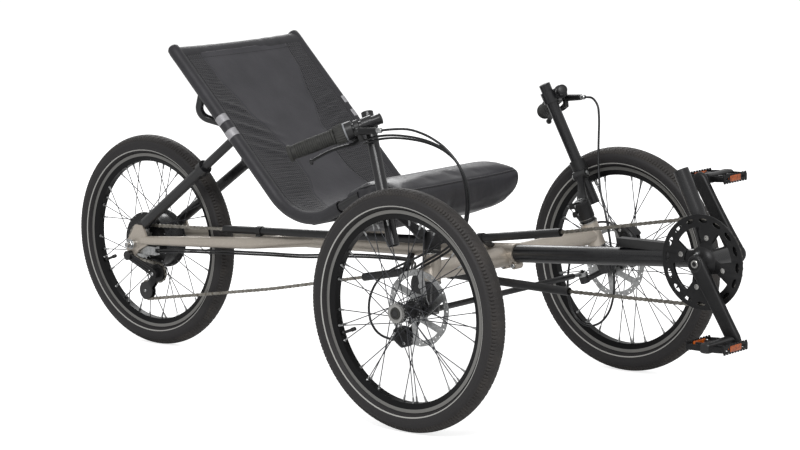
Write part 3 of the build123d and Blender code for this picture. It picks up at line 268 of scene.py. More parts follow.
def placeOnPart(tree):
    return addNode(tree, "ShaderNodeTexCoord").outputs["Object"]


def makeFinish(name):
    if name in madeFinishes:
        return madeFinishes[name]
    look = finishes[name]
    material, tree = emptyMaterial(name)
    place = placeOnPart(tree)
    grain = cloudy(tree, place, look["grain"], 2.0)
    spread = mapped(tree, cloudy(tree, place, look["patch"], 3.0), 0.35, 0.65, 0.0, look["patchMix"])
    colour = mixed(tree, spread, look["base"], look["second"])
    if "fleck" in look:  # bright specks spread through the coat
        cells = addNode(tree, "ShaderNodeTexVoronoi", {"Scale": 1 / (look["fleckSize"] * mm)},
            {"Vector": place})
        colour = mixed(tree, mapped(tree, cells.outputs["Color"], 0.75, 0.95, 0.0, 0.55), colour,
            look["fleck"])
    if "edge" in look:  # convex edges go lighter: a painted highlight
        curve = addNode(tree, "ShaderNodeNewGeometry").outputs["Pointiness"]
        colour = mixed(tree, mapped(tree, curve, 0.53, 0.62, 0.0, 0.5), colour, look["edge"])
    rough = mapped(tree, grain, 0.0, 1.0, look["rough"] - look["roughSpread"],
        look["rough"] + look["roughSpread"])
    surfaced(tree, colour, rough, embossed(tree, grain, 0.6, look["grainBump"]),
        {"Metallic": look.get("metallic", 0.0), "Coat Weight": look.get("coat", 0.0),
        "Coat Roughness": 0.12})
    madeFinishes[name] = material
    return material


def radiusFrom(tree, centre):  # distance from a wheel's axle line, in metres
    shifted = addNode(tree, "ShaderNodeVectorMath", {"operation": "SUBTRACT", 1: at(*centre)},
                      {0: placeOnPart(tree)})
    flat = addNode(tree, "ShaderNodeVectorMath", {"operation": "MULTIPLY", 1: (1, 0, 1)},
                   {0: shifted.outputs[0]})
    return addNode(tree, "ShaderNodeVectorMath", {"operation": "LENGTH"},
        {0: flat.outputs[0]}).outputs["Value"]


rimLook = {
    "dark": "1c1c1d",  # black anodised channel
    "side": "8b8a87",  # machined brake side
    "sideFrom": 201.5,  # radius in mm where the machined side starts
    "lines": 0.9,  # spacing of the turning marks, mm
}


def makeRimAlloy(name, centre):  # extruded aluminium, black anodised, sides machined bright
    material, tree = emptyMaterial(name)
    radius = radiusFrom(tree, centre)
    normal = addNode(tree, "ShaderNodeNewGeometry").outputs["Normal"]
    facing = calc(tree, "ABSOLUTE", addNode(tree, "ShaderNodeSeparateXYZ", links={0: normal}).outputs["Y"])
    edge = rimLook["sideFrom"] * mm
    side = calc(tree, "MULTIPLY", calc(tree, "GREATER_THAN", facing, 0.75),
        mapped(tree, radius, edge, edge + 0.4 * mm))
    marks = calc(tree, "SINE", calc(tree, "MULTIPLY", radius, tau / (rimLook["lines"] * mm)))
    surfaced(tree, mixed(tree, side, rimLook["dark"], rimLook["side"]),
        mapped(tree, marks, -1.0, 1.0, 0.28, 0.44), embossed(tree, marks, 0.3, 0.02), {"Metallic": 0.7})
    return material


def dress(node, finish):
    material = finish if not isinstance(finish, str) else makeFinish(finish)
    data = nodes[node].data
    data.materials.clear()
    data.materials.append(material)
    for face in data.polygons:
        face.material_index = 0


finishOfNode = {"champagnePowderCoat": ["main_tube", "cross_member", "rear_stays", "seat_mount"],
    "blackPowderCoat": ["boom", "accessory_post", "seat_rails", "seat_struts", "strut_clamps", "right_stem",
    "left_stem", "right_upright", "left_upright", "right_handlebar", "left_handlebar", "right_knuckle",
    "left_knuckle", "tie_rod"], "blackAnodised": ["cranks", "chain_guard", "chainring", "right_caliper",
    "left_caliper", "right_brake_lever", "left_brake_lever", "boom_rail", "right_hub", "left_hub",
    "idler_bracket", "chain_tensioner"], "hubShellLacquer": ["rear_hub"],
    "zincPlated": ["rear_axle", "rear_sprocket", "tie_rod_ends", "right_rotor", "left_rotor"],
    "stainlessWire": ["rear_spokes", "right_spokes", "left_spokes"], "nickelChain": ["chain"],
    "mouldedNylon": ["chain_tubes", "tube_clips", "idler", "right_pedal", "left_pedal", "twist_shifter"],
    "gripRubber": ["right_grip", "left_grip", "rear_tyre", "right_tyre", "left_tyre", "seat_sling",
    "seat_cushion"], "cableHousing": ["shift_cable", "right_brake_cable", "left_brake_cable"], }
for finish, names in finishOfNode.items():
    for node in names:
        dress(node, finish)
dress("rear_rim", makeRimAlloy("rearRimAlloy", trike["rearHub"]))
frontRimAlloy = makeRimAlloy("frontRimAlloy", trike["rightHub"])
dress("right_rim", frontRimAlloy)
dress("left_rim", frontRimAlloy)
print("finishes made:", len(bpy.data.materials))

# shape tools: everything is built into a bmesh in metres
def newPiece(name, source, finish, body, sharpAngle=35):
    if isinstance(source, bmesh.types.BMesh):
        mesh = bpy.data.meshes.new(name)
        bmesh.ops.recalc_face_normals(source, faces=source.faces)
        for edge in source.edges:
            edge.smooth = len(edge.link_faces) != 2 or edge.calc_face_angle(0) < radians(sharpAngle)
        for face in source.faces:
            face.smooth = True
        source.to_mesh(mesh)
        source.free()
    else:
        mesh = source
    mesh.materials.clear()
    mesh.materials.append(makeFinish(finish) if isinstance(finish, str) else finish)
    piece = bpy.data.objects.new(name, mesh)
    scene.collection.objects.link(piece)
    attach(piece, body)
    return piece


def sideways(axis):  # two directions square to an axis
    axis = axis.normalized()
    helper = Vector((0, 0, 1)) if abs(axis.z) < 0.9 else Vector((1, 0, 0))
    first = axis.cross(helper).normalized()
    return first, axis.cross(first).normalized()


def loft(shape, loops, closeEnds=True, closeRing=False):
    rings = [[shape.verts.new(p) for p in loop] for loop in loops]
    pairs = list(zip(rings, rings[1:])) + ([(rings[-1], rings[0])] if closeRing else [])
    for low, high in pairs:
        count = len(low)
        for i in range(count):
            shape.faces.new((low[i], low[(i + 1) % count], high[(i + 1) % count], high[i]))
    if closeEnds and not closeRing:
        shape.faces.new(rings[0][::-1])
        shape.faces.new(rings[-1])
    return rings


def turn(shape, start, axis, profile, steps=20):  # profile: (mm along, mm radius)
    axis = axis.normalized()
    u, v = sideways(axis)
    loops = [[start + axis * (along * mm)
              + (u * cos(tau * i / steps) + v * sin(tau * i / steps)) * (radius * mm)
              for i in range(steps)] for along, radius in profile]
    return loft(shape, loops)


def ovalLoop(centre, u, v, halfU, halfV, square=2.0, steps=20):  # square 2 is an ellipse, more is boxier
    loop = []
    for i in range(steps):
        c, s = cos(tau * i / steps), sin(tau * i / steps)
        scale = 1 / (abs(c) ** square + abs(s) ** square) ** (1 / square)
        loop.append(centre + u * (c * scale * halfU * mm) + v * (s * scale * halfV * mm))
    return loop


def bar(shape, stations, across, square=2.6, steps=16):  # stations: centre, half width, half thickness
    loops = []
    for i, (centre, wide, thick) in enumerate(stations):
        before, after = stations[max(i - 1, 0)][0], stations[min(i + 1, len(stations) - 1)][0]
        along = (after - before).normalized()
        u = (across - along * across.dot(along)).normalized()
        loops.append(ovalLoop(centre, u, along.cross(u).normalized(), wide, thick, square, steps))
    return loft(shape, loops)


def screw(shape, seat, axis, radius, height):  # socket cap screw with its hexagon recess
    axis = axis.normalized()
    turn(shape, seat, axis, [(0, radius), (height * 0.82, radius), (height, radius * 0.86),
        (height, radius * 0.52), (height * 0.45, radius * 0.50)], 12)


def hexNut(shape, seat, axis, radius, height):
    turn(shape, seat, axis, [(0, radius * 0.94), (height * 0.12, radius), (height * 0.86, radius),
        (height, radius * 0.9)], 6)


def cutPlate(outline, holes, thickness, centre, axisX, axisY, edge=0.4):  # loops of (x, y) in mm
    curve = bpy.data.curves.new("cutPlate", "CURVE")
    curve.dimensions = "2D"
    curve.fill_mode = "BOTH"
    curve.extrude = (thickness / 2 - edge) * mm
    curve.bevel_depth = edge * mm
    curve.bevel_resolution = 1
    for loop in [outline] + holes:
        line = curve.splines.new("POLY")
        line.points.add(len(loop) - 1)
        for point, (x, y) in zip(line.points, loop):
            point.co = (x * mm, y * mm, 0, 1)
        line.use_cyclic_u = True
    holder = bpy.data.objects.new("cutPlate", curve)
    scene.collection.objects.link(holder)
    bpy.context.view_layer.update()
    mesh = bpy.data.meshes.new_from_object(holder.evaluated_get(bpy.context.evaluated_depsgraph_get()))
    bpy.data.objects.remove(holder)
    bpy.data.curves.remove(curve)
    normal = axisX.cross(axisY)
    place = Matrix.Translation(centre) @ Matrix((axisX, axisY, normal)).transposed().to_4x4()
    mesh.transform(place)
    return mesh


def ring(radius, steps=24, centre=(0, 0), wide=1.0, turned=0.0):  # a hole or disc outline; wide stretches it
    points = []
    for i in range(steps):
        x, y = radius * wide * cos(tau * i / steps), radius * sin(tau * i / steps)
        points.append((centre[0] + x * cos(turned) - y * sin(turned),
                       centre[1] + x * sin(turned) + y * cos(turned)))
    return points


def addMesh(shape, mesh):  # joins a mesh into a bmesh
    shape.from_mesh(mesh)
    bpy.data.meshes.remove(mesh)


def hose(name, points, radius, finish, body):  # a smooth tube through control points
    curve = bpy.data.curves.new(name, "CURVE")
    curve.dimensions = "3D"
    curve.bevel_depth = radius * mm
    curve.bevel_resolution = 3
    curve.use_fill_caps = True
    line = curve.splines.new("NURBS")
    line.points.add(len(points) - 1)
    for point, place in zip(line.points, points):
        point.co = (*place, 1)
    line.order_u = 3
    line.use_endpoint_u = True
    holder = bpy.data.objects.new(name, curve)
    scene.collection.objects.link(holder)
    bpy.context.view_layer.update()
    mesh = bpy.data.meshes.new_from_object(holder.evaluated_get(bpy.context.evaluated_depsgraph_get()))
    bpy.data.objects.remove(holder)
    bpy.data.curves.remove(curve)
    return newPiece(name, mesh, finish, body)


ahead, left, up = Vector((1, 0, 0)), Vector((0, 1, 0)), Vector((0, 0, 1))


def radial(angle):  # a direction square to a wheel's axle
    return ahead * cos(angle) + up * sin(angle)


def onCircle(radius, angle):
    return radius * cos(angle), radius * sin(angle)


def evenly(count, turned=0.0):  # angles round a full circle
    return [tau * number / count + turned for number in range(count)]


wheels = {name: (f"{name}Hub", f"{name}_wheel") for name in ("rear", "right", "left")}

# tyres: moulded casing with cut tread, one mesh for each wheel
tyreShape = {
    "radius": 252.0, "half": 24.0, "shoulder": 214.5, "bead": 209.5, "beadHalf": 10.7, "beadLow": 203.0,
    "blocks": 198,  # shoulder blocks round the tyre, about 8 mm apart
    "samplesPerBlock": 4,
    "blockDepth": 1.9, "centreDepth": 1.1,  # mm
    "treadHalf": 25.0,  # mm each side of the crown along the surface
    "shoulderFrom": 14.5, "centreFrom": 5.5,  # where the shoulder blocks and the slanted cuts begin
}
tyreLook = {
    "sidewall": "262425", "tread": "2b2827", "dust": "514b45", "stripe": "b9b8b4",
    "stripeFrom": 47.6, "stripeTo": 50.2,  # mm from the crown along the surface
    "ribSpacing": 2.4,  # mm between the fine ribs over the bead
}


def makeTyreRubber():  # vulcanised rubber from a mould: dull charcoal, dusty tread
    material, tree = emptyMaterial("tyreRubber")
    uv = addNode(tree, "ShaderNodeSeparateXYZ", links={0: addNode(tree, "ShaderNodeUVMap").outputs[0]})
    across = calc(tree, "ABSOLUTE", uv.outputs["Y"])
    place = placeOnPart(tree)
    grain = cloudy(tree, place, 1.6, 2.0)
    onTread = mapped(tree, across, 27 * mm, 24 * mm)
    base = mixed(tree, onTread, tyreLook["sidewall"], tyreLook["tread"])
    dustAt = mapped(tree, cloudy(tree, place, 55, 4.0), 0.45, 0.8, 0.0, 0.45)
    base = mixed(tree, calc(tree, "MULTIPLY", dustAt, onTread), base, tyreLook["dust"])
    stripe = calc(tree, "MULTIPLY", calc(tree, "GREATER_THAN", across, tyreLook["stripeFrom"] * mm),
                  calc(tree, "LESS_THAN", across, tyreLook["stripeTo"] * mm))
    base = mixed(tree, stripe, base, tyreLook["stripe"])
    ribs = calc(tree, "SINE", calc(tree, "MULTIPLY", across, tau / (tyreLook["ribSpacing"] * mm)))
    ribs = calc(tree, "MULTIPLY", ribs, mapped(tree, across, 50 * mm, 52 * mm, 0.0, 0.8))
    relief = embossed(tree, calc(tree, "ADD", ribs, grain), 0.8, 0.25)
    surfaced(tree, base, mapped(tree, grain, 0.0, 1.0, 0.5, 0.72), relief, {"IOR": 1.52})
    return material


def tyreProfile():  # (mm across, mm radius, mm along the surface from the crown)
    half, middle = tyreShape["half"], tyreShape["radius"] - tyreShape["half"]
    end = acos((tyreShape["shoulder"] - middle) / half)
    outer = []
    steps = 22
    for i in range(steps + 1):
        angle = end * i / steps
        outer.append((half * sin(angle), middle + half * cos(angle), half * angle))
    length = outer[-1][2]
    outer.append((14.6, tyreShape["shoulder"] - 2.6, length + 6.0))
    outer.append((tyreShape["beadHalf"], tyreShape["bead"], length + 10.5))
    outer.append((tyreShape["beadHalf"] - 0.3, tyreShape["beadLow"], length + 17.0))
    outer.append((6.4, tyreShape["beadLow"], length + 21.0))
    outer.append((6.2, tyreShape["shoulder"], length + 33.0))
    outer.append((17.0, middle - 4.0, length + 46.0))
    outer.append((13.0, middle + 13.0, length + 60.0))
    mirrored = [(-x, r, -s) for x, r, s in outer[:0:-1]]
    return mirrored + outer


def treadCut(around, along):  # how deep the surface lies under the tread's top, in mm
    s = abs(along)
    if s > tyreShape["treadHalf"]:
        return 1.4
    hand = 1 if along > 0 else -1
    if s > tyreShape["shoulderFrom"]:  # shoulder blocks, leaning with the wheel's turn
        phase = (around + hand * (s - tyreShape["shoulderFrom"]) * 0.035 + (0.5 if hand > 0 else 0)) % 1.0
        return tyreShape["blockDepth"] if phase > 0.70 or s < 15.9 else 0.0
    if s > tyreShape["centreFrom"]:  # slanted cuts between the centre and the shoulder
        phase = (around * 0.5 + hand * s * 0.05) % 1.0
        return tyreShape["centreDepth"] if phase > 0.78 else 0.15
    return 0.0 if s > 0.8 else 0.5


def makeTyre(name, hub):
    profile = tyreProfile()
    rows = tyreShape["blocks"] * tyreShape["samplesPerBlock"]
    middle = tyreShape["radius"] - tyreShape["half"]
    points, faces = [], []
    count = len(profile)
    for k in range(rows):
        turnAngle = tau * k / rows
        c, s = cos(turnAngle), sin(turnAngle)
        block = k / tyreShape["samplesPerBlock"]
        for x, r, along in profile:
            if abs(along) < 30:
                cut = treadCut(block, along) if abs(along) < 27 else 0.7
                scale = 1 - cut / tyreShape["half"]
                x, r = x * scale, middle + (r - middle) * scale
            points.append((hub[0] * mm + r * mm * c, hub[1] * mm + x * mm, hub[2] * mm + r * mm * s))
    for k in range(rows):
        a, b = k * count, ((k + 1) % rows) * count
        for i in range(count):
            j = (i + 1) % count
            faces.append((a + i, a + j, b + j, b + i))
    mesh = bpy.data.meshes.new(name)
    mesh.from_pydata(points, [], faces)
    uvs = mesh.uv_layers.new(name="surface")
    values = []
    for k in range(rows):
        for i in range(count):
            j = (i + 1) % count
            sj = profile[j][2] if j else -profile[0][2]
            for kk, s in ((k, profile[i][2]), (k, sj), (k + 1, sj), (k + 1, profile[i][2])):
                values += [kk * tau * 0.24 / rows, s * mm]
    uvs.data.foreach_set("uv", values)
    mesh.polygons.foreach_set("use_smooth", [abs(profile[i % count][2]) > 26 for i in range(rows * count)])
    mesh.update()
    return mesh


tyreRubber = makeTyreRubber()
for name, (hubName, body) in wheels.items():
    tyre = newPiece(f"{name}TyreCasing", makeTyre(f"{name}TyreCasing", trike[hubName]), tyreRubber, body)
    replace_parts(tyre, f"{name}_tyre")
print("tyres made")

# spokes get nipples at the rim, and each rim its valve
spokeShape = {
    "perFlange": 18, "rimRadius": 190.0, "rimOffset": 4.0, "stagger": 1.4,
    "valveAngle": 200.0,
    "flanges": {"rear": (-30.0, 30.0), "right": (20.0, -24.0), "left": (-20.0, 24.0)},
    "flangeRadius": {"rear": 70.0, "right": 22.0, "left": 22.0},
    "crossing": {"rear": 18.0, "right": 55.0, "left": 55.0},
}


def spokeLines(name):  # (hub end, rim end) of every spoke, mm
    hub = trike[wheels[name][0]]
    step = 360 / spokeShape["perFlange"]
    lines = []
    for index, flange in enumerate(spokeShape["flanges"][name]):
        hand = 1 if flange > 0 else -1
        for number in range(spokeShape["perFlange"]):
            lead = 1 if number % 2 else -1
            hubAngle = radians(step * number + index * step / 2)
            rimAngle = hubAngle + radians(lead * spokeShape["crossing"][name])
            near, far = spokeShape["flangeRadius"][name] + 1.2, spokeShape["rimRadius"] - 0.8
            start = at(hub[0] + near * cos(hubAngle), hub[1] + flange + lead * spokeShape["stagger"],
                       hub[2] + near * sin(hubAngle))
            end = at(hub[0] + far * cos(rimAngle),
                     hub[1] + hand * spokeShape["rimOffset"] + lead * spokeShape["stagger"],
                     hub[2] + far * sin(rimAngle))
            lines.append((start, end, flange, hubAngle))
    return lines


for name, (hubName, body) in wheels.items():
    hub = at(*trike[hubName])
    nipples = bmesh.new()
    for start, end, flange, hubAngle in spokeLines(name):
        back = (start - end).normalized()
        turn(nipples, end - back * 0.6 * mm, back, [(0, 3.2), (2.0, 3.2), (2.6, 2.3), (12.0, 1.9),
            (12.6, 1.2)], 8)
        place = hub + radial(hubAngle) * ((spokeShape["flangeRadius"][name] - 2.6) * mm)
        for hand in (-1, 1):  # rolled spoke heads on both faces of the flange
            turn(nipples, place + left * (flange * mm + hand * 1.2 * mm), left * hand,
                 [(0, 1.9), (1.3, 1.7), (1.7, 0.9)], 8)
    newPiece(f"{name}SpokeNipples", nipples, "zincPlated", body)
    valve = bmesh.new()
    angle = radians(spokeShape["valveAngle"])
    out = radial(angle)
    turn(valve, hub + out * 189 * mm, -out, [(0, 4.2), (3, 4.2), (4, 3.2), (26, 3.2), (26.5, 4.4),
        (36, 4.2), (37, 3.0)], 14)
    newPiece(f"{name}ValveStem", valve, "mouldedNylon", body)
print("nipples and valves made")

# hubs: turned shells, end caps, rotors and rotor screws

rotorShape = {
    "radius": 79.3, "ripple": 0.7, "thickness": 2.0, "bore": 14.2, "screwCircle": 22, "side": 37.5,
    # (mm from the axle, mm hole radius, turn): vent windows round the brake track, twelve times
    "vents": ((75.6, 2.3, 0.0), (71.6, 2.0, 0.13), (76.0, 1.9, 0.26)),
    "armOuter": 67.5, "armInner": 29.0,
}


def discOutline(radius, steps, ripple=0.0, ripples=0):
    return [((radius + ripple * cos(ripples * tau * i / steps)) * cos(tau * i / steps),
             (radius + ripple * cos(ripples * tau * i / steps)) * sin(tau * i / steps)) for i in range(steps)]


for name, side in sides.items():
    body = f"{name}_wheel"
    hub = at(*trike[f"{name}Hub"])
    outward = left * side
    shell = bmesh.new()  # barrel that swells to two flanges, from inboard out
    turn(shell, hub - outward * 33 * mm, outward, [(0, 7.2), (0, 13), (2, 14.2), (9, 14.2), (11.2, 19.5),
        (11.5, 22), (14.5, 22), (15.2, 19.0), (18, 15.5), (30, 13.4), (42, 13.4), (52, 15.5), (54.6, 19.0),
        (55.5, 22), (58.5, 22), (59.2, 20), (62, 17.0), (66, 16.0), (66, 7.2)], 40)
    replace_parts(newPiece(f"{name}HubShell", shell, "blackAnodised", body), f"{name}_hub")
    cap = bmesh.new()  # silver dust cap with a dished face
    turn(cap, hub + outward * 28.6 * mm, outward,
         [(0, 16.4), (0, 19.4), (1.2, 20.4), (6.6, 20.4), (8.0, 19.6), (8.4, 18.2), (7.7, 13.2), (7.4, 12.6),
          (7.4, 7.4)], 40)
    newPiece(f"{name}HubCap", cap, "clearAnodised", body)
    collar = bmesh.new()
    turn(collar, hub + outward * 33 * mm, outward, [(0, 12.4), (4.4, 12.2), (4.9, 11.4), (4.9, 8.6),
        (3.4, 8.0)], 32)
    newPiece(f"{name}HubSeal", collar, "gripRubber", body)

    rotorCentre = hub - outward * rotorShape["side"] * mm
    windows = []
    for angle in evenly(12):
        windows += [ring(size, 10, onCircle(radius, angle + shift))
            for radius, size, shift in rotorShape["vents"]]
    for start in evenly(6, 0.02):  # open spaces between the swept arms
        windows.append([onCircle(rotorShape["armOuter"], start + 0.50 + 0.82 * i / 10) for i in range(11)]
                       + [onCircle(rotorShape["armInner"], start + 0.62 - 0.42 * i / 5) for i in range(6)])
    for angle in evenly(6, 0.5):
        windows.append(ring(2.6, 10, onCircle(rotorShape["screwCircle"], angle)))
    windows.append(ring(rotorShape["bore"], 32))
    rotor = cutPlate(discOutline(rotorShape["radius"], 144, rotorShape["ripple"], 12), windows,
                     rotorShape["thickness"], rotorCentre, ahead, up, 0.2)
    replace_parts(newPiece(f"{name}BrakeRotor", rotor, "zincPlated", body), f"{name}_rotor")
    screws = bmesh.new()
    for angle in evenly(6, 0.5):
        place = rotorCentre - outward * 1.0 * mm + radial(angle) * rotorShape["screwCircle"] * mm
        screw(screws, place, -outward, 3.6, 2.2)
    newPiece(f"{name}RotorScrews", screws, "blackOxide", body)

rearHub = at(*trike["rearHub"])
drum = bmesh.new()  # wide gear hub: two flanges and a stepped drum
turn(drum, rearHub - left * 33.0 * mm, left, [(0, 6.2), (-4, 12), (-4, 44), (0, 50), (1.2, 58), (1.5, 70),
    (4.5, 70), (5.4, 66), (8, 63.4), (16, 62.6), (24, 63.6), (33, 64.0), (42, 63.6), (50, 62.6), (58, 63.4),
    (60.6, 66), (61.5, 70), (64.5, 70), (64.8, 58), (66, 52), (69, 40), (71, 24), (74, 20), (86, 19),
    (90, 16), (98, 15), (99, 13.5), (99, 6.2)], 56)
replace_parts(newPiece("gearHubDrum", drum, "hubShellLacquer", "rear_wheel"), "rear_hub")
hubScrews = bmesh.new()
for angle in evenly(5, 0.3):
    screw(hubScrews, rearHub + left * 33.0 * mm + radial(angle) * 50 * mm, left, 4.2, 3.0)
newPiece("gearHubScrews", hubScrews, "zincPlated", "rear_wheel")
print("hubs and rotors made")

# seat: a sling sleeved over the rails, hemmed over the top bar, with a foam cushion in front
seat = {
    "corner": (658.3, 353.9), "backAngle": 45.8, "baseAngle": 26.8,
    "back": 518.0, "overhang": 25.0, "base": 139.0, "bend": 140.0,
    "railSide": 195.0, "sleeveRadius": 13.5,
    "rows": 216,
    # (mm down the sling from its top, half width of the smooth middle panel)
    "panelHalf": [(0, 143), (100, 134), (200, 110), (286, 82), (345, 66), (400, 70), (475, 96), (560, 122),
                  (645, 140)],
    # (mm down the sling, height of its middle over the rails' centre lines)
    "middleRise": [(0, 12), (27, 13.2), (60, 9.5), (150, 3.5), (250, 1.5), (350, 3), (450, 7), (548, 11),
                   (645, 9.5)],
    "joinAngle": 128,  # degrees round the sleeve where the mesh is sewn on
    # (mm down the sling, mm deep): the long folds of the side mesh, and where they run into the panel
    "meshFolds": ((176, 4.2), (204, 3.4), (238, 4.6), (272, 3.2), (300, 2.6)),
    "panelFolds": ((204, 1.6), (238, 2.2), (272, 1.5)),
    "stitchFrom": 48, "stitchStep": 2.4, "stitches": 246,
    "gatherSpacing": 10.5, "gatherDepth": 1.5,  # mm, the fine pleats of the side mesh
    "bands": [(213, 233), (254, 274)],  # mm down the right and left sleeves
    "hemHalf": 20.5,
}
fabricLook = {
    "panel": "48474c", "panelSecond": "3e3d42", "weave": 1.6,  # mm, coated plain weave, drawn coarse to show
    # the mesh's lighter thread colour is a painted highlight, and its eyelet colour is painted shade where
    # the mesh is open
    "mesh": "222126", "meshPale": "3d3c41", "hole": "060607",
    "meshPitch": 5.6,  # mm, knitted eyelets, drawn coarse to show
    "cushion": "414045", "cushionSecond": "333237",
}


def between(table, value):  # reads a two-column table, smoothly
    for (a, low), (b, high) in zip(table, table[1:]):
        if value <= b:
            share = max(0.0, (value - a) / (b - a))
            share = share * share * (3 - 2 * share)
            return low + (high - low) * share
    return table[-1][1]


def makeCoatedNylon(name, base, second, rough, sheen, wrinkle):
    # woven nylon with a rubbery coating: charcoal, low broad shine, fine weave, long soft creases
    material, tree = emptyMaterial(name)
    place = placeOnPart(tree)
    uv = addNode(tree, "ShaderNodeUVMap").outputs[0]
    tone = mapped(tree, cloudy(tree, place, 70, 3.0), 0.35, 0.65)
    threads = [addNode(tree, "ShaderNodeTexWave", {"Scale": 0.32 / (fabricLook["weave"] * mm),
        "bands_direction": way}, {"Vector": uv}).outputs["Fac"] for way in ("X", "Y")]
    weave = calc(tree, "MULTIPLY", *threads)
    colour = mixed(tree, tone, base, second)
    colour = mixed(tree, mapped(tree, weave, 0.0, 1.0, 0.28, 0.0), colour, "141416")
    fine = embossed(tree, weave, 0.5, 0.12)
    soft = embossed(tree, cloudy(tree, place, wrinkle, 4.0, 1.2), 0.5, 1.6, fine)
    surfaced(tree, colour, rough, soft, {"Sheen Weight": sheen, "Sheen Roughness": 0.5})
    return material


def makeEyeletMesh():  # warp knitted polyester: black, rows of round eyelets
    material, tree = emptyMaterial("eyeletMesh")
    uv = addNode(tree, "ShaderNodeUVMap").outputs[0]
    parts = addNode(tree, "ShaderNodeSeparateXYZ", links={0: uv})
    waves = [calc(tree, "SINE", calc(tree, "MULTIPLY", parts.outputs[axis],
        pi / (fabricLook["meshPitch"] * mm))) for axis in ("X", "Y")]
    # eyelet mask: there the mesh is painted near black, as painted shade seen through the open mesh
    hole = mapped(tree, calc(tree, "ABSOLUTE", calc(tree, "MULTIPLY", *waves)), 0.35, 0.7)
    # threads lightened in soft random patches by a painted highlight
    thread = mixed(tree, cloudy(tree, placeOnPart(tree), 25, 3.0), fabricLook["mesh"], fabricLook["meshPale"])
    relief = embossed(tree, calc(tree, "SUBTRACT", 1.0, hole), 0.9, 0.9)
    surfaced(tree, mixed(tree, hole, thread, fabricLook["hole"]), 0.6, relief, {"Sheen Weight": 0.15})
    return material


def hump(x):  # 1 at 0, falling smoothly to 0 about 2 away
    return 2.718 ** (-x ** 2)


def slingFrame(down):  # point on the rails' middle line, and its lie, mm from the top
    backDir = Vector((cos(radians(seat["backAngle"])), 0, -sin(radians(seat["backAngle"]))))
    baseDir = Vector((cos(radians(seat["baseAngle"])), 0, sin(radians(seat["baseAngle"]))))
    turnBy = radians(seat["backAngle"] + seat["baseAngle"])
    reach = seat["bend"] * sin(turnBy / 2) / cos(turnBy / 2)
    corner = fromRear(seat["corner"][0], 0, seat["corner"][1])
    straight = seat["overhang"] + seat["back"] - reach
    if down <= straight:
        point = corner - backDir * ((reach + straight - down) * mm)
        along = backDir
    elif down <= straight + seat["bend"] * turnBy:
        angle = (down - straight) / seat["bend"]
        normal = Vector((backDir.z * -1, 0, backDir.x))
        centre = corner - backDir * (reach * mm) + normal * (seat["bend"] * mm)
        spin = Matrix.Rotation(-angle, 3, "Y")
        point = centre - spin @ normal * (seat["bend"] * mm)
        along = spin @ backDir
    else:
        point = corner + baseDir * ((reach + down - straight - seat["bend"] * turnBy) * mm)
        along = baseDir
    return point, along, Vector((-along.z, 0, along.x))


seatTurn = radians(seat["backAngle"] + seat["baseAngle"])
slingLength = (seat["overhang"] + seat["back"] + seat["base"]
               + seat["bend"] * (seatTurn - 2 * sin(seatTurn / 2) / cos(seatTurn / 2)))
sewnAngle = radians(seat["joinAngle"])
sewnHalf = seat["railSide"] + seat["sleeveRadius"] * cos(sewnAngle)  # mm to the mesh's sewn edge
sewnLip = seat["sleeveRadius"] * sin(sewnAngle)


def clothHeight(down, y):  # mm over the rails, from sewn edge to sewn edge
    rise = between(seat["middleRise"], down)
    return (rise + (sewnLip - rise) * min(1.0, abs(y) / sewnHalf) ** 2.6
            + foldHeight(down, y, between(seat["panelHalf"], down), sewnHalf))


def slingRow(down):  # (mm to the left, mm over the rails, zone) from right to left
    edge = seat["railSide"]
    radius = seat["sleeveRadius"]
    panel = between(seat["panelHalf"], down)
    inner = sewnHalf
    half = []
    for i in range(17):  # round the rail, from the sewn edge under it
        angle = radians(-165) + (sewnAngle - radians(-165)) * i / 16
        half.append((edge + radius * cos(angle), radius * sin(angle), "sleeve"))
    sideColumns, middleColumns = 30, 22
    for i in range(1, sideColumns + 1):
        y = inner - 2.2 - (inner - 2.2 - panel - 1.6) * (i - 1) / (sideColumns - 1)
        half.append((y, None, "mesh"))
    half.append((panel, None, "seam"))
    for i in range(middleColumns + 1):
        half.append(((panel - 1.6) * (1 - i / middleColumns), None, "panel"))
    row = []
    for hand in (-1, 1):
        done = []
        for y, height, zone in half:
            if height is None:
                height = clothHeight(down, hand * y)
                if zone == "seam":
                    height -= 1.3
                if inner - y < 3:
                    height -= 1.0
            done.append((hand * y, height, zone))
        row += done if hand < 0 else done[:-1][::-1]
    return row


def foldHeight(down, y, panel, inner):  # gathers and creases of the side mesh, in mm
    across = abs(y)
    depth = 0.0
    quiet = min(1.0, max(0.0, (down - 45) / 60))

    def foldOffset(start):  # folds slant, and sit lower on the left
        return down - start - 0.42 * (inner - across) - (14 if y > 0 else 0)

    if across > panel:
        share = (across - panel) / (inner - panel)
        bell = sin(pi * min(1.0, share * 1.05)) ** 0.7 if share < 0.95 else 0.25
        wander = 6 * fieldNoise.noise(Vector((y * 0.02, down * 0.012, 3.1)))
        phase = (down + wander + 0.10 * (across - panel)) / seat["gatherSpacing"]
        strength = 0.55 + 0.6 * fieldNoise.noise(Vector((y * 0.01, down * 0.02, 8.7)))
        depth += seat["gatherDepth"] * bell * quiet * strength * (cos(tau * phase) ** 3)
        for start, size in seat["meshFolds"]:
            offset = foldOffset(start)
            depth += size * bell * (0.9 if y < 0 else 0.7) * hump(offset / 7.5)
    else:
        fade = hump((panel - across) / 26)
        for start, size in seat["panelFolds"]:
            offset = foldOffset(start)
            depth += size * fade * hump(offset / 9)
        depth += 1.1 * fieldNoise.noise(Vector((y * 0.012, down * 0.010, 0.4)))
    return depth


panelNylon = makeCoatedNylon("coatedNylonPanel", fabricLook["panel"], fabricLook["panelSecond"], 0.55, 0.12,
    60)
sleeveNylon = makeCoatedNylon("coatedNylonSleeve", "343338", "2a292d", 0.52, 0.12, 30)
eyeletMesh = makeEyeletMesh()


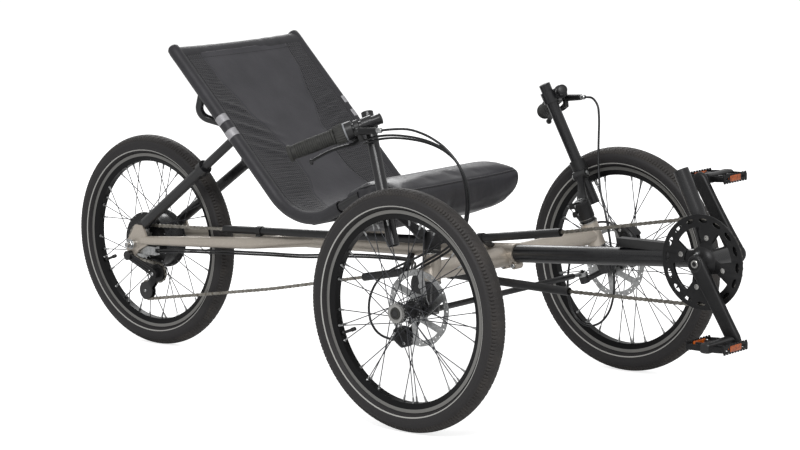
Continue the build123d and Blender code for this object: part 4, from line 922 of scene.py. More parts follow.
def makeSling():
    rows = seat["rows"]
    points, uvValues, zones = [], [], None
    for k in range(rows + 1):
        down = seat["hemHalf"] * 2 - 4 + (slingLength - seat["hemHalf"] * 2 + 4) * k / rows
        place, along, normal = slingFrame(down)
        row = slingRow(down)
        zones = [zone for _, _, zone in row]
        for y, height, _ in row:
            points.append(place + left * (y * mm) + normal * (height * mm))
            uvValues.append((y * mm, down * mm))
    count = len(zones)
    mesh = bpy.data.meshes.new("seatSling")
    faces = [(k * count + i, k * count + i + 1, (k + 1) * count + i + 1, (k + 1) * count + i)
             for k in range(rows) for i in range(count - 1)]
    mesh.from_pydata(points, [], faces)
    uvs = mesh.uv_layers.new(name="surface")
    for loop in mesh.loops:
        uvs.data[loop.index].uv = uvValues[loop.vertex_index]
    mesh.materials.append(panelNylon)
    mesh.materials.append(eyeletMesh)
    mesh.materials.append(sleeveNylon)
    pick = []
    for i in range(count - 1):
        pair = (zones[i], zones[i + 1])
        pick.append(2 if "sleeve" in pair else 1 if "mesh" in pair else 0)
    mesh.polygons.foreach_set("material_index", pick * rows)
    mesh.polygons.foreach_set("use_smooth", [True] * len(faces))
    mesh.update()
    return mesh


slingMesh = makeSling()
sling = bpy.data.objects.new("seatSlingCloth", slingMesh)
scene.collection.objects.link(sling)
cloth = sling.modifiers.new("clothThickness", "SOLIDIFY")
cloth.thickness = 1.3 * mm
cloth.offset = 0
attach(sling, "frame")
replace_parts(sling, "seat_sling")

hem = bmesh.new()  # the sling's top edge, folded over the bar and sewn
place, along, normal = slingFrame(27)
loops = []
for i in range(61):
    y = -seat["railSide"] + 2 * seat["railSide"] * i / 60
    ripple = 0.7 * fieldNoise.noise(Vector((y * 0.05, 1.0, 2.0)))
    dip = 3.4 * (1 - (y / seat["railSide"]) ** 2)
    loops.append(ovalLoop(place + left * (y * mm) + along * ((1.5 + dip) * mm), along, normal,
                          seat["hemHalf"] - dip * 0.3 + ripple, 13.3 + ripple * 0.5, 2.3, 24))
loft(hem, loops)
for hand in (-1, 1):  # rounded pocket over each rail's top end
    base = place + left * (hand * seat["railSide"] * mm)
    stations = [(-25.0, 4.0, 4.0), (-23.6, 9.6, 9.6), (-19.0, 13.4, 13.4), (-8, 14.6, 14.4), (6, 14.6, 14.4),
                (16, 14.2, 14.0), (22, 13.7, 13.6)]
    loft(hem, [ovalLoop(base + along * (step * mm), left, normal, wide, tall, 2.0, 24)
               for step, wide, tall in stations])
hemPiece = newPiece("seatTopHem", hem, sleeveNylon, "frame", 60)

stitches = bmesh.new()  # sewing lines: hem, sleeves and panel seams
def stitchRun(pointsAlong, size=0.55):
    for i, (a, b) in enumerate(zip(pointsAlong, pointsAlong[1:])):
        if i % 2 == 0:
            bar(stitches, [(a, size, size * 0.7), (b, size, size * 0.7)],
                left if abs((b - a).y) < (b - a).length * 0.7 else up, 2.0, 6)


def onSling(down, y, lift=0.0):
    place, along, normal = slingFrame(down)
    return place + left * (y * mm) + normal * ((clothHeight(down, y) + lift) * mm)


downs = [seat["stitchFrom"] + i * seat["stitchStep"] for i in range(seat["stitches"])]
for hand in (-1, 1):
    stitchRun([onSling(down, hand * (between(seat["panelHalf"], down) - 4.5), 0.75) for down in downs], 0.6)
    stitchRun([onSling(down, hand * 184.0, 0.7) for down in downs], 0.6)
stitchRun([onSling(49.5 + 3.0 * (1 - (y / 195) ** 2), y, 0.8) for y in range(-180, 181, 3)], 0.6)
sewing = newPiece("seatStitching", stitches, "mouldedNylon", "frame")

bands = bmesh.new()  # reflective tape sewn round the outside of the sleeves
for hand in (-1, 1):
    for start, end in seat["bands"]:
        grid = []
        for k in range(9):
            place, along, normal = slingFrame(start + (end - start) * k / 8)
            centre = place + left * (hand * seat["railSide"] * mm)
            grid.append([bands.verts.new(centre + (left * (hand * cos(a)) + normal * sin(a)) * (14.7 * mm))
                         for a in [radians(-150) + radians(262) * i / 24 for i in range(25)]])
        for low, high in zip(grid, grid[1:]):
            for i in range(24):
                bands.faces.new((low[i], low[i + 1], high[i + 1], high[i]))
bandPiece = newPiece("seatReflectiveBands", bands, "beadTape", "frame")
bandPiece.modifiers.new("tapeThickness", "SOLIDIFY").thickness = 0.6 * mm

front = bmesh.new()  # the sling's front edge folded under
loft(front, [ovalLoop(onSling(slingLength - 4, y), slingFrame(slingLength - 4)[1],
    slingFrame(slingLength - 4)[2], 6.0, 1.7, 2.4, 12) for y in range(-182, 183, 7)])
frontPiece = newPiece("seatFrontHem", front, sleeveNylon, "frame")
print("sling made")

# cushion: foam block in a satin coated cover, blown up a little by simulation, creased, then piped
cushion = {
    # (mm ahead of the rear axle, mm up), round the side outline
    "outline": [(797, 361), (816, 361), (869, 374), (920, 391), (954, 424), (962, 452), (955, 468),
                (897, 476), (859, 471), (798, 448)],
    "half": 204.0, "endRadius": 22.0, "underRadius": 62.0,
    "voxel": 6.0, "swellCap": 7.0,
    "frontSeam": (959, 466), "seamHalf": 186, "seamInset": 9, "cord": 2.0,  # the piping
}


def cushionLoop(y):
    outline = cushion["outline"]
    middle = (sum(p[0] for p in outline) / len(outline), sum(p[1] for p in outline) / len(outline))
    beyond = max(0.0, abs(y) - (cushion["half"] - cushion["endRadius"])) / cushion["endRadius"]
    shrink = 0.91 + 0.09 * sqrt(max(0.0, 1 - beyond ** 2))
    under = max(0.0, abs(y) - (cushion["half"] - cushion["underRadius"]))
    floorUp = 357 + cushion["underRadius"] - sqrt(max(0.0, cushion["underRadius"] ** 2 - under ** 2))
    loop = []
    for (x0, z0), (x1, z1) in zip(outline, outline[1:] + outline[:1]):
        for i in range(6):
            x, z = x0 + (x1 - x0) * i / 6, z0 + (z1 - z0) * i / 6
            x, z = middle[0] + (x - middle[0]) * shrink, middle[1] + (z - middle[1]) * shrink
            loop.append(fromRear(x, y, max(z, min(floorUp, middle[1] + 18))))
    return loop


def swell(piece, voxel, cap):  # pressure from inside, held to a few mm
    remesh = piece.modifiers.new("remesh", "REMESH")
    remesh.mode = "VOXEL"
    remesh.voxel_size = voxel * mm
    bpy.context.view_layer.update()
    graph = bpy.context.evaluated_depsgraph_get()
    piece.data = bpy.data.meshes.new_from_object(piece.evaluated_get(graph))
    piece.modifiers.clear()
    start = [v.co.copy() for v in piece.data.vertices]
    cloth = piece.modifiers.new("cloth", "CLOTH")
    cloth.settings.use_pressure = True
    cloth.settings.uniform_pressure_force = 4
    cloth.settings.effector_weights.gravity = 0
    cloth.settings.tension_stiffness = 25
    cloth.settings.bending_stiffness = 2
    for number in range(1, 21):
        scene.frame_set(number)
    graph = bpy.context.evaluated_depsgraph_get()
    blown = bpy.data.meshes.new_from_object(piece.evaluated_get(graph))
    for vertex, first in zip(blown.vertices, start):
        move = vertex.co - first
        if move.length > cap * mm:
            vertex.co = first + move * (cap * mm / move.length)
    piece.modifiers.clear()
    piece.data = blown
    scene.frame_set(1)


cushionForm = bmesh.new()
loft(cushionForm, [cushionLoop(-cushion["half"] + 2 * cushion["half"] * i / 64) for i in range(65)])
cushionNylon = makeCoatedNylon("cushionCover", fabricLook["cushion"], fabricLook["cushionSecond"], 0.36,
    0.05, 34)
cushionPiece = newPiece("seatCushionPad", cushionForm, cushionNylon, "frame")
swell(cushionPiece, cushion["voxel"], cushion["swellCap"])
smoother = cushionPiece.modifiers.new("settle", "SMOOTH")
smoother.factor, smoother.iterations = 0.5, 4
refine = cushionPiece.modifiers.new("refine", "SUBSURF")
refine.levels = refine.render_levels = 1
bpy.context.view_layer.update()
settled = bpy.data.meshes.new_from_object(cushionPiece.evaluated_get(bpy.context.evaluated_depsgraph_get()))
cushionPiece.modifiers.clear()
for vertex in settled.vertices:  # loose creases along the lower front of the cover
    ax = (vertex.co.x - fromRear(0, 0, 0).x) / mm
    lowFront = max(0.0, min(1.0, (418 - vertex.co.z / mm) / 40)) * max(0.0, min(1.0, (ax - 800) / 60))
    wave = fieldNoise.noise(Vector((vertex.co.y * 14, vertex.co.z * 46, ax * 0.02)))
    vertex.co += Vector((1, 0, -0.5)) * (wave * 3.2 * lowFront * mm)
cushionPiece.data = settled
settled.materials.clear()
settled.materials.append(cushionNylon)
for face in settled.polygons:
    face.use_smooth = True
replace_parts(cushionPiece, "seat_cushion")
piping = bmesh.new()  # corded seams round both ends and along the top front edge
seams = [cushionLoop(hand * (cushion["half"] - cushion["seamInset"]))[::2] for hand in (-1, 1)]
seamAhead, seamUp = cushion["frontSeam"]
front = [fromRear(seamAhead, -cushion["seamHalf"] + 2 * cushion["seamHalf"] * i / 60, seamUp)
         for i in range(61)]
for seam, closed in ((seams[0], True), (seams[1], True), (front, False)):
    laid = []
    for point in seam:
        _, place, normal, _ = cushionPiece.closest_point_on_mesh(point)
        laid.append(place + normal * (0.6 * mm))
    for _ in range(3):
        laid = [(laid[k - 1] + laid[k] * 2 + laid[(k + 1) % len(laid)]) / 4 if closed or 0 < k < len(laid) - 1
                else laid[k] for k in range(len(laid))]
    loops = []
    for k, place in enumerate(laid):
        way = (laid[(k + 1) % len(laid)] - laid[k - 1] if closed else
               laid[min(k + 1, len(laid) - 1)] - laid[max(k - 1, 0)]).normalized()
        u = way.cross(Vector((0.3, 0.2, 1))).normalized()
        loops.append(ovalLoop(place, u, way.cross(u), cushion["cord"], cushion["cord"], 2.0, 10))
    loft(piping, loops, not closed, closed)
newPiece("cushionPiping", piping, sleeveNylon, "frame")
print("cushion made")

# chain: every link of the loop, laid along its runs and wheels
smallWheels = {"upperJockey": (52, 183), "lowerJockey": (11.5, 137), "idler": (880, 232)}  # mm ahead, mm up
chainShape = {
    "pitch": 12.7, "side": -45.0, "plateHalf": 3.9, "waist": 2.7,
    "outerGap": 2.55, "innerGap": 1.55, "plateThickness": 0.85,
    # wheels: mm ahead, mm up, radius at the chain's middle, turn
    # bends: mm ahead, mm up, slope, radius, turn, way
    "route": [(0, 252, 41.6, -1),
              ("bend", 936, 338.5, 0.089, 2500, 1, 1), ("bend", 1255, 380.2, 0.15, 1500, 1, 1),
              (1624.5, 352, 89, -1),
              ("bend", 1275, 258.5, -0.004, 2000, -1, -1),
              (*smallWheels["idler"], 34.8, 1),
              ("bend", 420, 180.03, 0.1734, 3000, -1, -1),
              (*smallWheels["lowerJockey"], 20.8, -1), (*smallWheels["upperJockey"], 20.8, 1)],
}


def routeCircles():
    circles = []
    for item in chainShape["route"]:
        if item[0] == "bend":
            _, x, z, slope, radius, turnWay, way = item
            heading = atan2(way * slope, way)
            circles.append((x - turnWay * radius * sin(heading), z + turnWay * radius * cos(heading), radius,
                            turnWay))
        else:
            circles.append(item)
    return circles


def chainLine(step=1.0):  # points about 1 mm apart, all the way round
    circles = routeCircles()
    runs = []
    for (x0, z0, r0, t0), (x1, z1, r1, t1) in zip(circles, circles[1:] + circles[:1]):
        heading = atan2(z1 - z0, x1 - x0) - asin((t1 * r1 - t0 * r0) / hypot(x1 - x0, z1 - z0))
        normal = (sin(heading), -cos(heading))
        runs.append(((x0 + t0 * r0 * normal[0], z0 + t0 * r0 * normal[1]),
                     (x1 + t1 * r1 * normal[0], z1 + t1 * r1 * normal[1])))
    line = []
    for i, (leave, meet) in enumerate(runs):
        x, z, radius, turnWay = circles[(i + 1) % len(circles)]
        away = runs[(i + 1) % len(runs)][0]
        length = hypot(meet[0] - leave[0], meet[1] - leave[1])
        count = max(2, int(length / step))
        line += [(leave[0] + (meet[0] - leave[0]) * k / count, leave[1] + (meet[1] - leave[1]) * k / count)
                 for k in range(count)]
        start = atan2(meet[1] - z, meet[0] - x)
        swing = ((atan2(away[1] - z, away[0] - x) - start) * turnWay % tau) * turnWay
        count = max(2, int(abs(swing) * radius / step))
        line += [(x + radius * cos(start + swing * k / count), z + radius * sin(start + swing * k / count))
                 for k in range(count)]
    return line


def linkPlate(shape, a, b, offset):  # a figure-of-eight plate between two pins
    along = (b - a).normalized()
    across = along.cross(left).normalized()
    half, waist, thick = (chainShape[key] * mm for key in ("plateHalf", "waist", "plateThickness"))
    outline = []
    for centre, begin in ((b, -100), (a, 80)):
        for i in range(5):
            angle = radians(begin + 200 * i / 4)
            outline.append(centre + (along * cos(angle) + across * sin(angle)) * half)
        outline.append((a + b) / 2 + across * (waist if begin < 0 else -waist))
    loft(shape, [[p + left * (offset + hand * thick / 2) for p in outline] for hand in (-1, 1)])


def makeChain():
    line = chainLine()
    lengths = [0.0]
    for (x0, z0), (x1, z1) in zip(line, line[1:] + line[:1]):
        lengths.append(lengths[-1] + hypot(x1 - x0, z1 - z0))
    links = 2 * round(lengths[-1] / chainShape["pitch"] / 2)
    pitch = lengths[-1] / links
    pins, k = [], 0
    for number in range(links):
        want = number * pitch
        while lengths[k + 1] < want:
            k += 1
        share = (want - lengths[k]) / (lengths[k + 1] - lengths[k])
        x0, z0 = line[k]
        x1, z1 = line[(k + 1) % len(line)]
        pins.append(fromRear(x0 + (x1 - x0) * share, chainShape["side"], z0 + (z1 - z0) * share))
    shape = bmesh.new()
    for number in range(links):
        a, b = pins[number], pins[(number + 1) % links]
        gap = chainShape["outerGap"] if number % 2 else chainShape["innerGap"]
        for hand in (-1, 1):
            linkPlate(shape, a, b, hand * gap * mm)
        turn(shape, a - left * 3.1 * mm, left,
             [(0, 1.6), (0.4, 1.9), (0.5, 1.9), (5.7, 1.9), (5.8, 1.9), (6.2, 1.6)], 6)
        turn(shape, a - left * 1.3 * mm, left, [(0, 3.9), (2.6, 3.9)], 8)
    return shape, links


chainForm, linkCount = makeChain()
chainPiece = newPiece("rollerChain", chainForm, "nickelChain", "frame")
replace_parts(chainPiece, "chain")
print("chain made:", linkCount, "links")

# toothed wheels, cut plates with real teeth
bracket = at(*trike["bracket"])


def toothLoop(teeth, pitchRadius, tip, root):
    loop = []
    for k in range(teeth):
        for share, radius in ((-0.30, root), (-0.16, root + 0.5), (-0.07, tip),
                              (0.07, tip), (0.16, root + 0.5), (0.30, root)):
            angle = tau * (k + share) / teeth
            loop.append((radius * cos(angle), radius * sin(angle)))
    return loop


def scallop(outer, inner, arms, armHalf, steps=16, turned=0.0):  # inner opening with a tab at each arm
    loop = []
    for arm in range(arms):
        middle = turned + tau * arm / arms
        loop += [(inner * cos(middle + armHalf * (i / 3 - 1)), inner * sin(middle + armHalf * (i / 3 - 1)))
                 for i in range(7)]
        gapStart, gapEnd = middle + armHalf * 1.25, middle + tau / arms - armHalf * 1.25
        loop += [(outer * cos(gapStart + (gapEnd - gapStart) * i / steps),
                  outer * sin(gapStart + (gapEnd - gapStart) * i / steps)) for i in range(steps + 1)]
    return loop


drive = {
    "ringSide": -45.0, "guardSide": -51.5, "teeth": 44, "boltCircle": 52.0, "arms": 4,
    "guardRadius": 96.5, "guardSlots": 16, "slotRadius": 84.5,
    "crank": 170.0,  # mm, spindle to pedal axle
}
spiderTurn = radians(trike["crankAngle"] + 45)
slots = []
for number in range(drive["guardSlots"]):
    angle = tau * number / drive["guardSlots"] + spiderTurn + 0.2
    slots.append(ring(5.0, 20, onCircle(drive["slotRadius"], angle), 2.15, angle + pi / 2))
guardInner = scallop(72.0, 44.0, drive["arms"], 0.26, 20, spiderTurn)
guard = cutPlate(discOutline(drive["guardRadius"], 120), slots + [guardInner], 3.0,
                 bracket + left * (drive["guardSide"] * mm), ahead, up, 0.7)
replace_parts(newPiece("chainGuardRing", guard, "blackAnodised", "crankset"), "chain_guard")
ringInner = scallop(73.0, 44.0, drive["arms"], 0.26, 20, spiderTurn)
ringMesh = cutPlate(toothLoop(drive["teeth"], 89.0, 90.5, 84.6), [ringInner], 2.6,
    bracket + left * (drive["ringSide"] * mm), ahead, up, 0.3)
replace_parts(newPiece("frontSprocket", ringMesh, "blackAnodised", "crankset"), "chainring")
guardScrews = bmesh.new()
for number in range(drive["arms"]):
    angle = spiderTurn + tau * number / drive["arms"]
    spot = bracket + radial(angle) * (drive["boltCircle"] * mm)
    screw(guardScrews, spot + left * (drive["guardSide"] - 1.4) * mm, -left, 5.6, 2.2)
    turn(guardScrews, spot + left * (drive["ringSide"] + 1.4) * mm, left,
        [(0, 6.2), (1.2, 6.2), (1.6, 5.4)], 16)
newPiece("spiderScrews", guardScrews, "clearAnodised", "crankset")

# cranks: forged arms, broad at the hub
cranksForm = bmesh.new()
crankDir = Vector((cos(radians(trike["crankAngle"])), 0, sin(radians(trike["crankAngle"]))))
crankSide = crankDir.cross(left).normalized()
for hand in (-1, 1):
    reach = crankDir * (1 if hand < 0 else -1)
    stations = []
    for along, wide, out, thick in ((-18.5, 6.0, 70.6, 4.4), (-15.0, 12.6, 70.5, 7.0), (-8, 17.4, 70.4, 8.4),
                                    (0, 18.8, 70.2, 8.8), (14, 18.4, 70.0, 8.8), (40, 17.4, 69.4, 8.4),
                                    (80, 16.4, 69.0, 8.0), (120, 15.8, 69.0, 7.8), (150, 15.8, 69.2, 7.8),
                                    (168, 16.2, 69.5, 7.8), (176, 14.4, 69.5, 7.2), (182, 10.2, 69.5, 6.0),
                                    (185.4, 5.4, 69.5, 3.8)):
        stations.append((bracket + left * (hand * out * mm) + reach * (along * mm), wide, thick))
    bar(cranksForm, stations, crankSide, 3.4, 24)
    hubEnd = bracket + left * (hand * 60 * mm)
    turn(cranksForm, hubEnd, left * hand, [(0, 16.5), (14, 17.0), (18.6, 16.6), (19.6, 15.6), (19.8, 12.4),
        (18.6, 12.2), (18.4, 8.2)], 32)
turn(cranksForm, bracket + left * -46.6 * mm, -left, [(0, 30.0), (0.4, 32.0), (3.6, 32.0), (5.0, 29.0),
    (8.0, 24.0), (14.0, 20.0), (20.0, 18.0)], 40)
turn(cranksForm, bracket + left * 42 * mm, left, [(0, 16.0), (1.0, 17.0), (19, 17.0), (20, 16.0)], 32)
for number in range(drive["arms"]):  # spider arms, waisted towards the screw
    angle = spiderTurn + tau * number / drive["arms"]
    out = radial(angle)
    across = out.cross(left).normalized()
    bar(cranksForm, [(bracket + left * -48.3 * mm + out * (along * mm), wide, thick)
        for along, wide, thick in ((14, 24.0, 3.6), (26, 17.5, 2.8), (36, 13.0, 2.1), (46, 11.4, 1.8),
        (56, 11.0, 1.8), (62, 8.6, 1.7), (65, 4.0, 1.2))], across, 3.0, 20)
cranksPiece = newPiece("forgedCranks", cranksForm, "blackAnodised", "crankset")
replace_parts(cranksPiece, "cranks")
crankCaps = bmesh.new()
for hand in (-1, 1):
    turn(crankCaps, bracket + left * (hand * 77.6 * mm), left * hand,
        [(0, 8.4), (1.4, 8.4), (2.2, 7.6), (2.2, 5.0), (0.6, 4.6)], 24)
newPiece("crankCaps", crankCaps, "clearAnodised", "crankset")
bracketCups = bmesh.new()
for hand in (-1, 1):  # bearing cups either side of the shell
    turn(bracketCups, bracket + left * (hand * 33.6 * mm), left * hand,
         [(0, 20.0), (0.6, 21.4), (4.4, 21.4), (5.0, 20.4), (5.2, 14), (6.0, 12.6)], 36)
newPiece("bracketCups", bracketCups, "blackOxide", "frame")

# pedals: toothed cage plates on a moulded body, amber reflectors fore and aft
pedalShape = {
    "halfLength": 46.0, "halfWidth": 44.0, "half": 9.0, "teeth": 9, "toothHeight": 3.2,
    # the moulded body: mm along the spindle, half width, half thickness
    "core": [(-44, 9, 8), (-42.5, 12.4, 10.0), (-30, 13.0, 10.4), (-12, 11, 9.4), (12, 11, 9.4),
             (30, 13.0, 10.4), (41, 12.4, 10.0), (43.4, 9.0, 8.0)],
}
reflectorLook = {"amber": "d8660a", "deep": "8a3600", "prism": 3.2}  # mm between prisms, drawn coarse


def makeAmberAcrylic():  # moulded acrylic over corner prisms: bright orange, sparkling
    material, tree = emptyMaterial("amberAcrylic")
    cells = addNode(tree, "ShaderNodeTexVoronoi", {"Scale": 1 / (reflectorLook["prism"] * mm),
        "Randomness": 0.25}, {"Vector": placeOnPart(tree)})
    colour = mixed(tree, cells.outputs["Color"], reflectorLook["deep"], reflectorLook["amber"])
    surfaced(tree, colour, 0.16, embossed(tree, cells.outputs["Distance"], 0.8, 0.7),
        {"IOR": 1.49, "Coat Weight": 0.5})
    return material


amberAcrylic = makeAmberAcrylic()
for name, hand in sides.items():
    pedalBody = f"{name}_pedal_unit"
    reach = drive["crank"] if hand < 0 else -drive["crank"]
    tip = bracket + crankDir * (reach * mm) + left * (hand * 69.5 * mm)
    outward = left * hand
    centre = tip + outward * ((7.5 + 8 + pedalShape["halfWidth"]) * mm)
    cage = bmesh.new()
    for fore in (-1, 1):  # the two long plates, saw-toothed on both edges
        outline = []
        span, half = pedalShape["halfWidth"] - 2.0, pedalShape["half"]
        count = pedalShape["teeth"]
        for edge in (1, -1):
            for k in range(count):
                a = -span + 2 * span * k / count
                b = a + 2 * span / count
                tooth = [(a + 0.6, half - 2.6), (a + 1.8, half + pedalShape["toothHeight"] - 2.6),
                         (b - 3.4, half + pedalShape["toothHeight"] - 2.6), (b - 2.0, half - 2.6)]
                outline += [(x * edge, z * edge) for x, z in tooth]
        windows = [ring(3.2, 12, (x, 0), 2.3) for x in (-27, 27)]
        plate = cutPlate(outline, windows, 2.2,
            centre + ahead * (fore * (pedalShape["halfLength"] - 2.2) * mm), left, up, 0.3)
        addMesh(cage, plate)
    for along in (-(pedalShape["halfWidth"] - 3.0), pedalShape["halfWidth"] - 3.0):  # end plates join them
        acrossPoints = [fore * pedalShape["halfLength"] * 0.96 for fore in (-1, -0.6, 0, 0.6, 1)]
        bar(cage, [(centre + outward * (along * mm) + ahead * (x * mm), 6.2 if abs(x) < 30 else 5.0, 1.6)
                   for x in acrossPoints], up, 4.0, 12)
    newPiece(f"{name}PedalCage", cage, "blackOxide", pedalBody, 25)
    core = bmesh.new()
    turn(core, tip - outward * 7.0 * mm, outward, [(0, 6.6), (15, 6.8), (16, 8.6), (18, 8.6), (19, 7.4)], 20)
    bar(core, [(centre + outward * (along * mm), wide, thick) for along, wide, thick in pedalShape["core"]],
        ahead, 4.0, 20)
    for fore in (-1, 1):  # arms that hold the reflectors
        for along in (-15, 15):
            bar(core, [(centre + outward * (along * mm) + ahead * (fore * x * mm), 2.4, 5.0)
                       for x in (10, 25, 43)], left, 4.0, 8)
    corePiece = newPiece(f"{name}PedalBody", core, "mouldedNylon", pedalBody)
    reflectors = bmesh.new()
    for fore in (-1, 1):
        face = centre + ahead * (fore * (pedalShape["halfLength"] - 3.6) * mm)
        bar(reflectors, [(face + outward * (along * mm) + ahead * (fore * bulge * mm), 6.6 * tall,
            3.2 * tall) for along, bulge, tall in ((-19, -0.6, 0.75), (-18, 0.0, 1.0), (0, 0.2, 1.0),
            (18, 0.0, 1.0), (19, -0.6, 0.75))], up, 6.0, 20)
    newPiece(f"{name}PedalReflectors", reflectors, amberAcrylic, pedalBody)
    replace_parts(corePiece, f"{name}_pedal")
print("cranks and pedals made")

# rear sprocket, jockey wheels, idler and the tensioner's screws
rearCog = cutPlate(toothLoop(20, 41.6, 42.6, 37.2), [ring(14.4, 32)] + [
    ring(4.2, 14, onCircle(27.5, angle), 1.5, angle + pi / 2) for angle in evenly(6)],
    2.0, rearHub + left * chainShape["side"] * mm, ahead, up, 0.25)
cogForm = bmesh.new()
addMesh(cogForm, rearCog)
turn(cogForm, rearHub + left * -33.4 * mm, -left, [(0, 14.6), (0, 21.5), (9.6, 22.0), (11, 20.5),
    (11.4, 14.6)], 32)
turn(cogForm, rearHub + left * -46 * mm, -left, [(0, 14.4), (0, 19.5), (1.8, 19.0), (2.8, 17.6),
    (2.8, 14.4)], 32)
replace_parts(newPiece("rearCog", cogForm, "zincPlated", "rear_wheel"), "rear_sprocket")

jockeys = bmesh.new()
upperJockey, lowerJockey = smallWheels["upperJockey"], smallWheels["lowerJockey"]
for x, z in (upperJockey, lowerJockey):
    addMesh(jockeys, cutPlate(toothLoop(11, 20.8, 19.6, 16.4), [ring(3.4, 12)] + [
        ring(2.2, 10, onCircle(9.5, angle)) for angle in evenly(5)],
        2.2, fromRear(x, chainShape["side"], z), ahead, up, 0.3))
newPiece("jockeyWheels", jockeys, "mouldedNylon", "frame")
idlerForm = bmesh.new()
idlerAhead, idlerUp = smallWheels["idler"]
turn(idlerForm, fromRear(idlerAhead, -48.2, idlerUp), left,
     [(0, 4.4), (0, 12), (0.6, 24), (0.6, 33.4), (1.4, 34.0), (2.0, 30.6),
      (4.6, 30.6), (5.2, 34.0), (6.0, 33.4), (6.0, 24), (6.6, 12), (6.6, 4.4)], 48)
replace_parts(newPiece("chainIdler", idlerForm, "mouldedNylon", "frame"), "idler")
smallScrews = bmesh.new()
for (x, z), side, size in ((upperJockey, -66.0, 4.6), (upperJockey, -51.8, 3.4), (lowerJockey, -51.8, 3.8),
                           ((-12, 224), -83.6, 5.2)):
    screw(smallScrews, fromRear(x, side + 1.0, z), -left, size, 3.6)
screw(smallScrews, fromRear(idlerAhead, -52.6, idlerUp), -left, 5.4, 3.4)
newPiece("tensionerScrews", smallScrews, "zincPlated", "frame")
axleNuts = bmesh.new()
for hand in (-1, 1):
    hexNut(axleNuts, rearHub + left * (hand * 83.6 * mm), left * hand, 9.6, 6.0)
    turn(axleNuts, rearHub + left * (hand * 83.4 * mm), left * hand, [(0, 12.0), (1.4, 12.0)], 24)
newPiece("rearAxleNuts", axleNuts, "zincPlated", "frame")
print("drive details made")

# steering: headset, stems, bars with grips and levers, calipers
steer = {
    "barFront": (-117.47, -66.5, 631.7), "barBack": (-261.97, 52.5, 563.5),
    "uprightTop": (-159.97, -74.5, 640.0), "uprightLow": (-58.97, -31.5, 377.0),
    "perchEnd": (-81.0, -30.5, 613.6), "gripStart": {"right": 101.0, "left": 62.0}, "gripOverhang": 4.0,
    "collarUp": 455.0, "stemUp": 376.0, "headTop": 349.0, "headLow": 296.0, "bladeBelow": 28.0,
    "caliperAt": {"right": (-45.0, -65.0), "left": (45.0, 65.0)}, "rotorSide": -37.5,
    "inlets": {"right": (-83.0, -40.5, 178.0), "left": (-1.0, -49.5, 340.0)},
    # mm back along the bar from its front end
    "clampAt": 27.4, "leverAt": 50, "kneeAt": 80, "bladeEnd": 165, "ribPitch": 4.6,
    # mm along, half width, half thickness
    "linkForm": [(10, 10.4, 8.4), (22, 10.6, 8.8), (34, 8.4, 7.6), (52, 7.6, 7.2), (72, 9.0, 8.4),
                 (86, 11.8, 10.6), (98, 12.8, 11.0)],
    "perchForm": [(9, 8.4, 5.4), (14, 9.4, 6.8), (20, 10.4, 7.4), (24, 8.8, 6.6), (26.4, 5.0, 4.0)],
    "padScrewAt": 15.5, "pinchScrewAt": 10,
}
hubHeight = trike["leftHub"][2]


def kingpinAt(side, height):
    return at(trike["leftHub"][0] - tan(radians(trike["kingpinCaster"])) * (height - hubHeight),
              side * (trike["leftHub"][1] - tan(radians(trike["kingpinLean"])) * height), height)


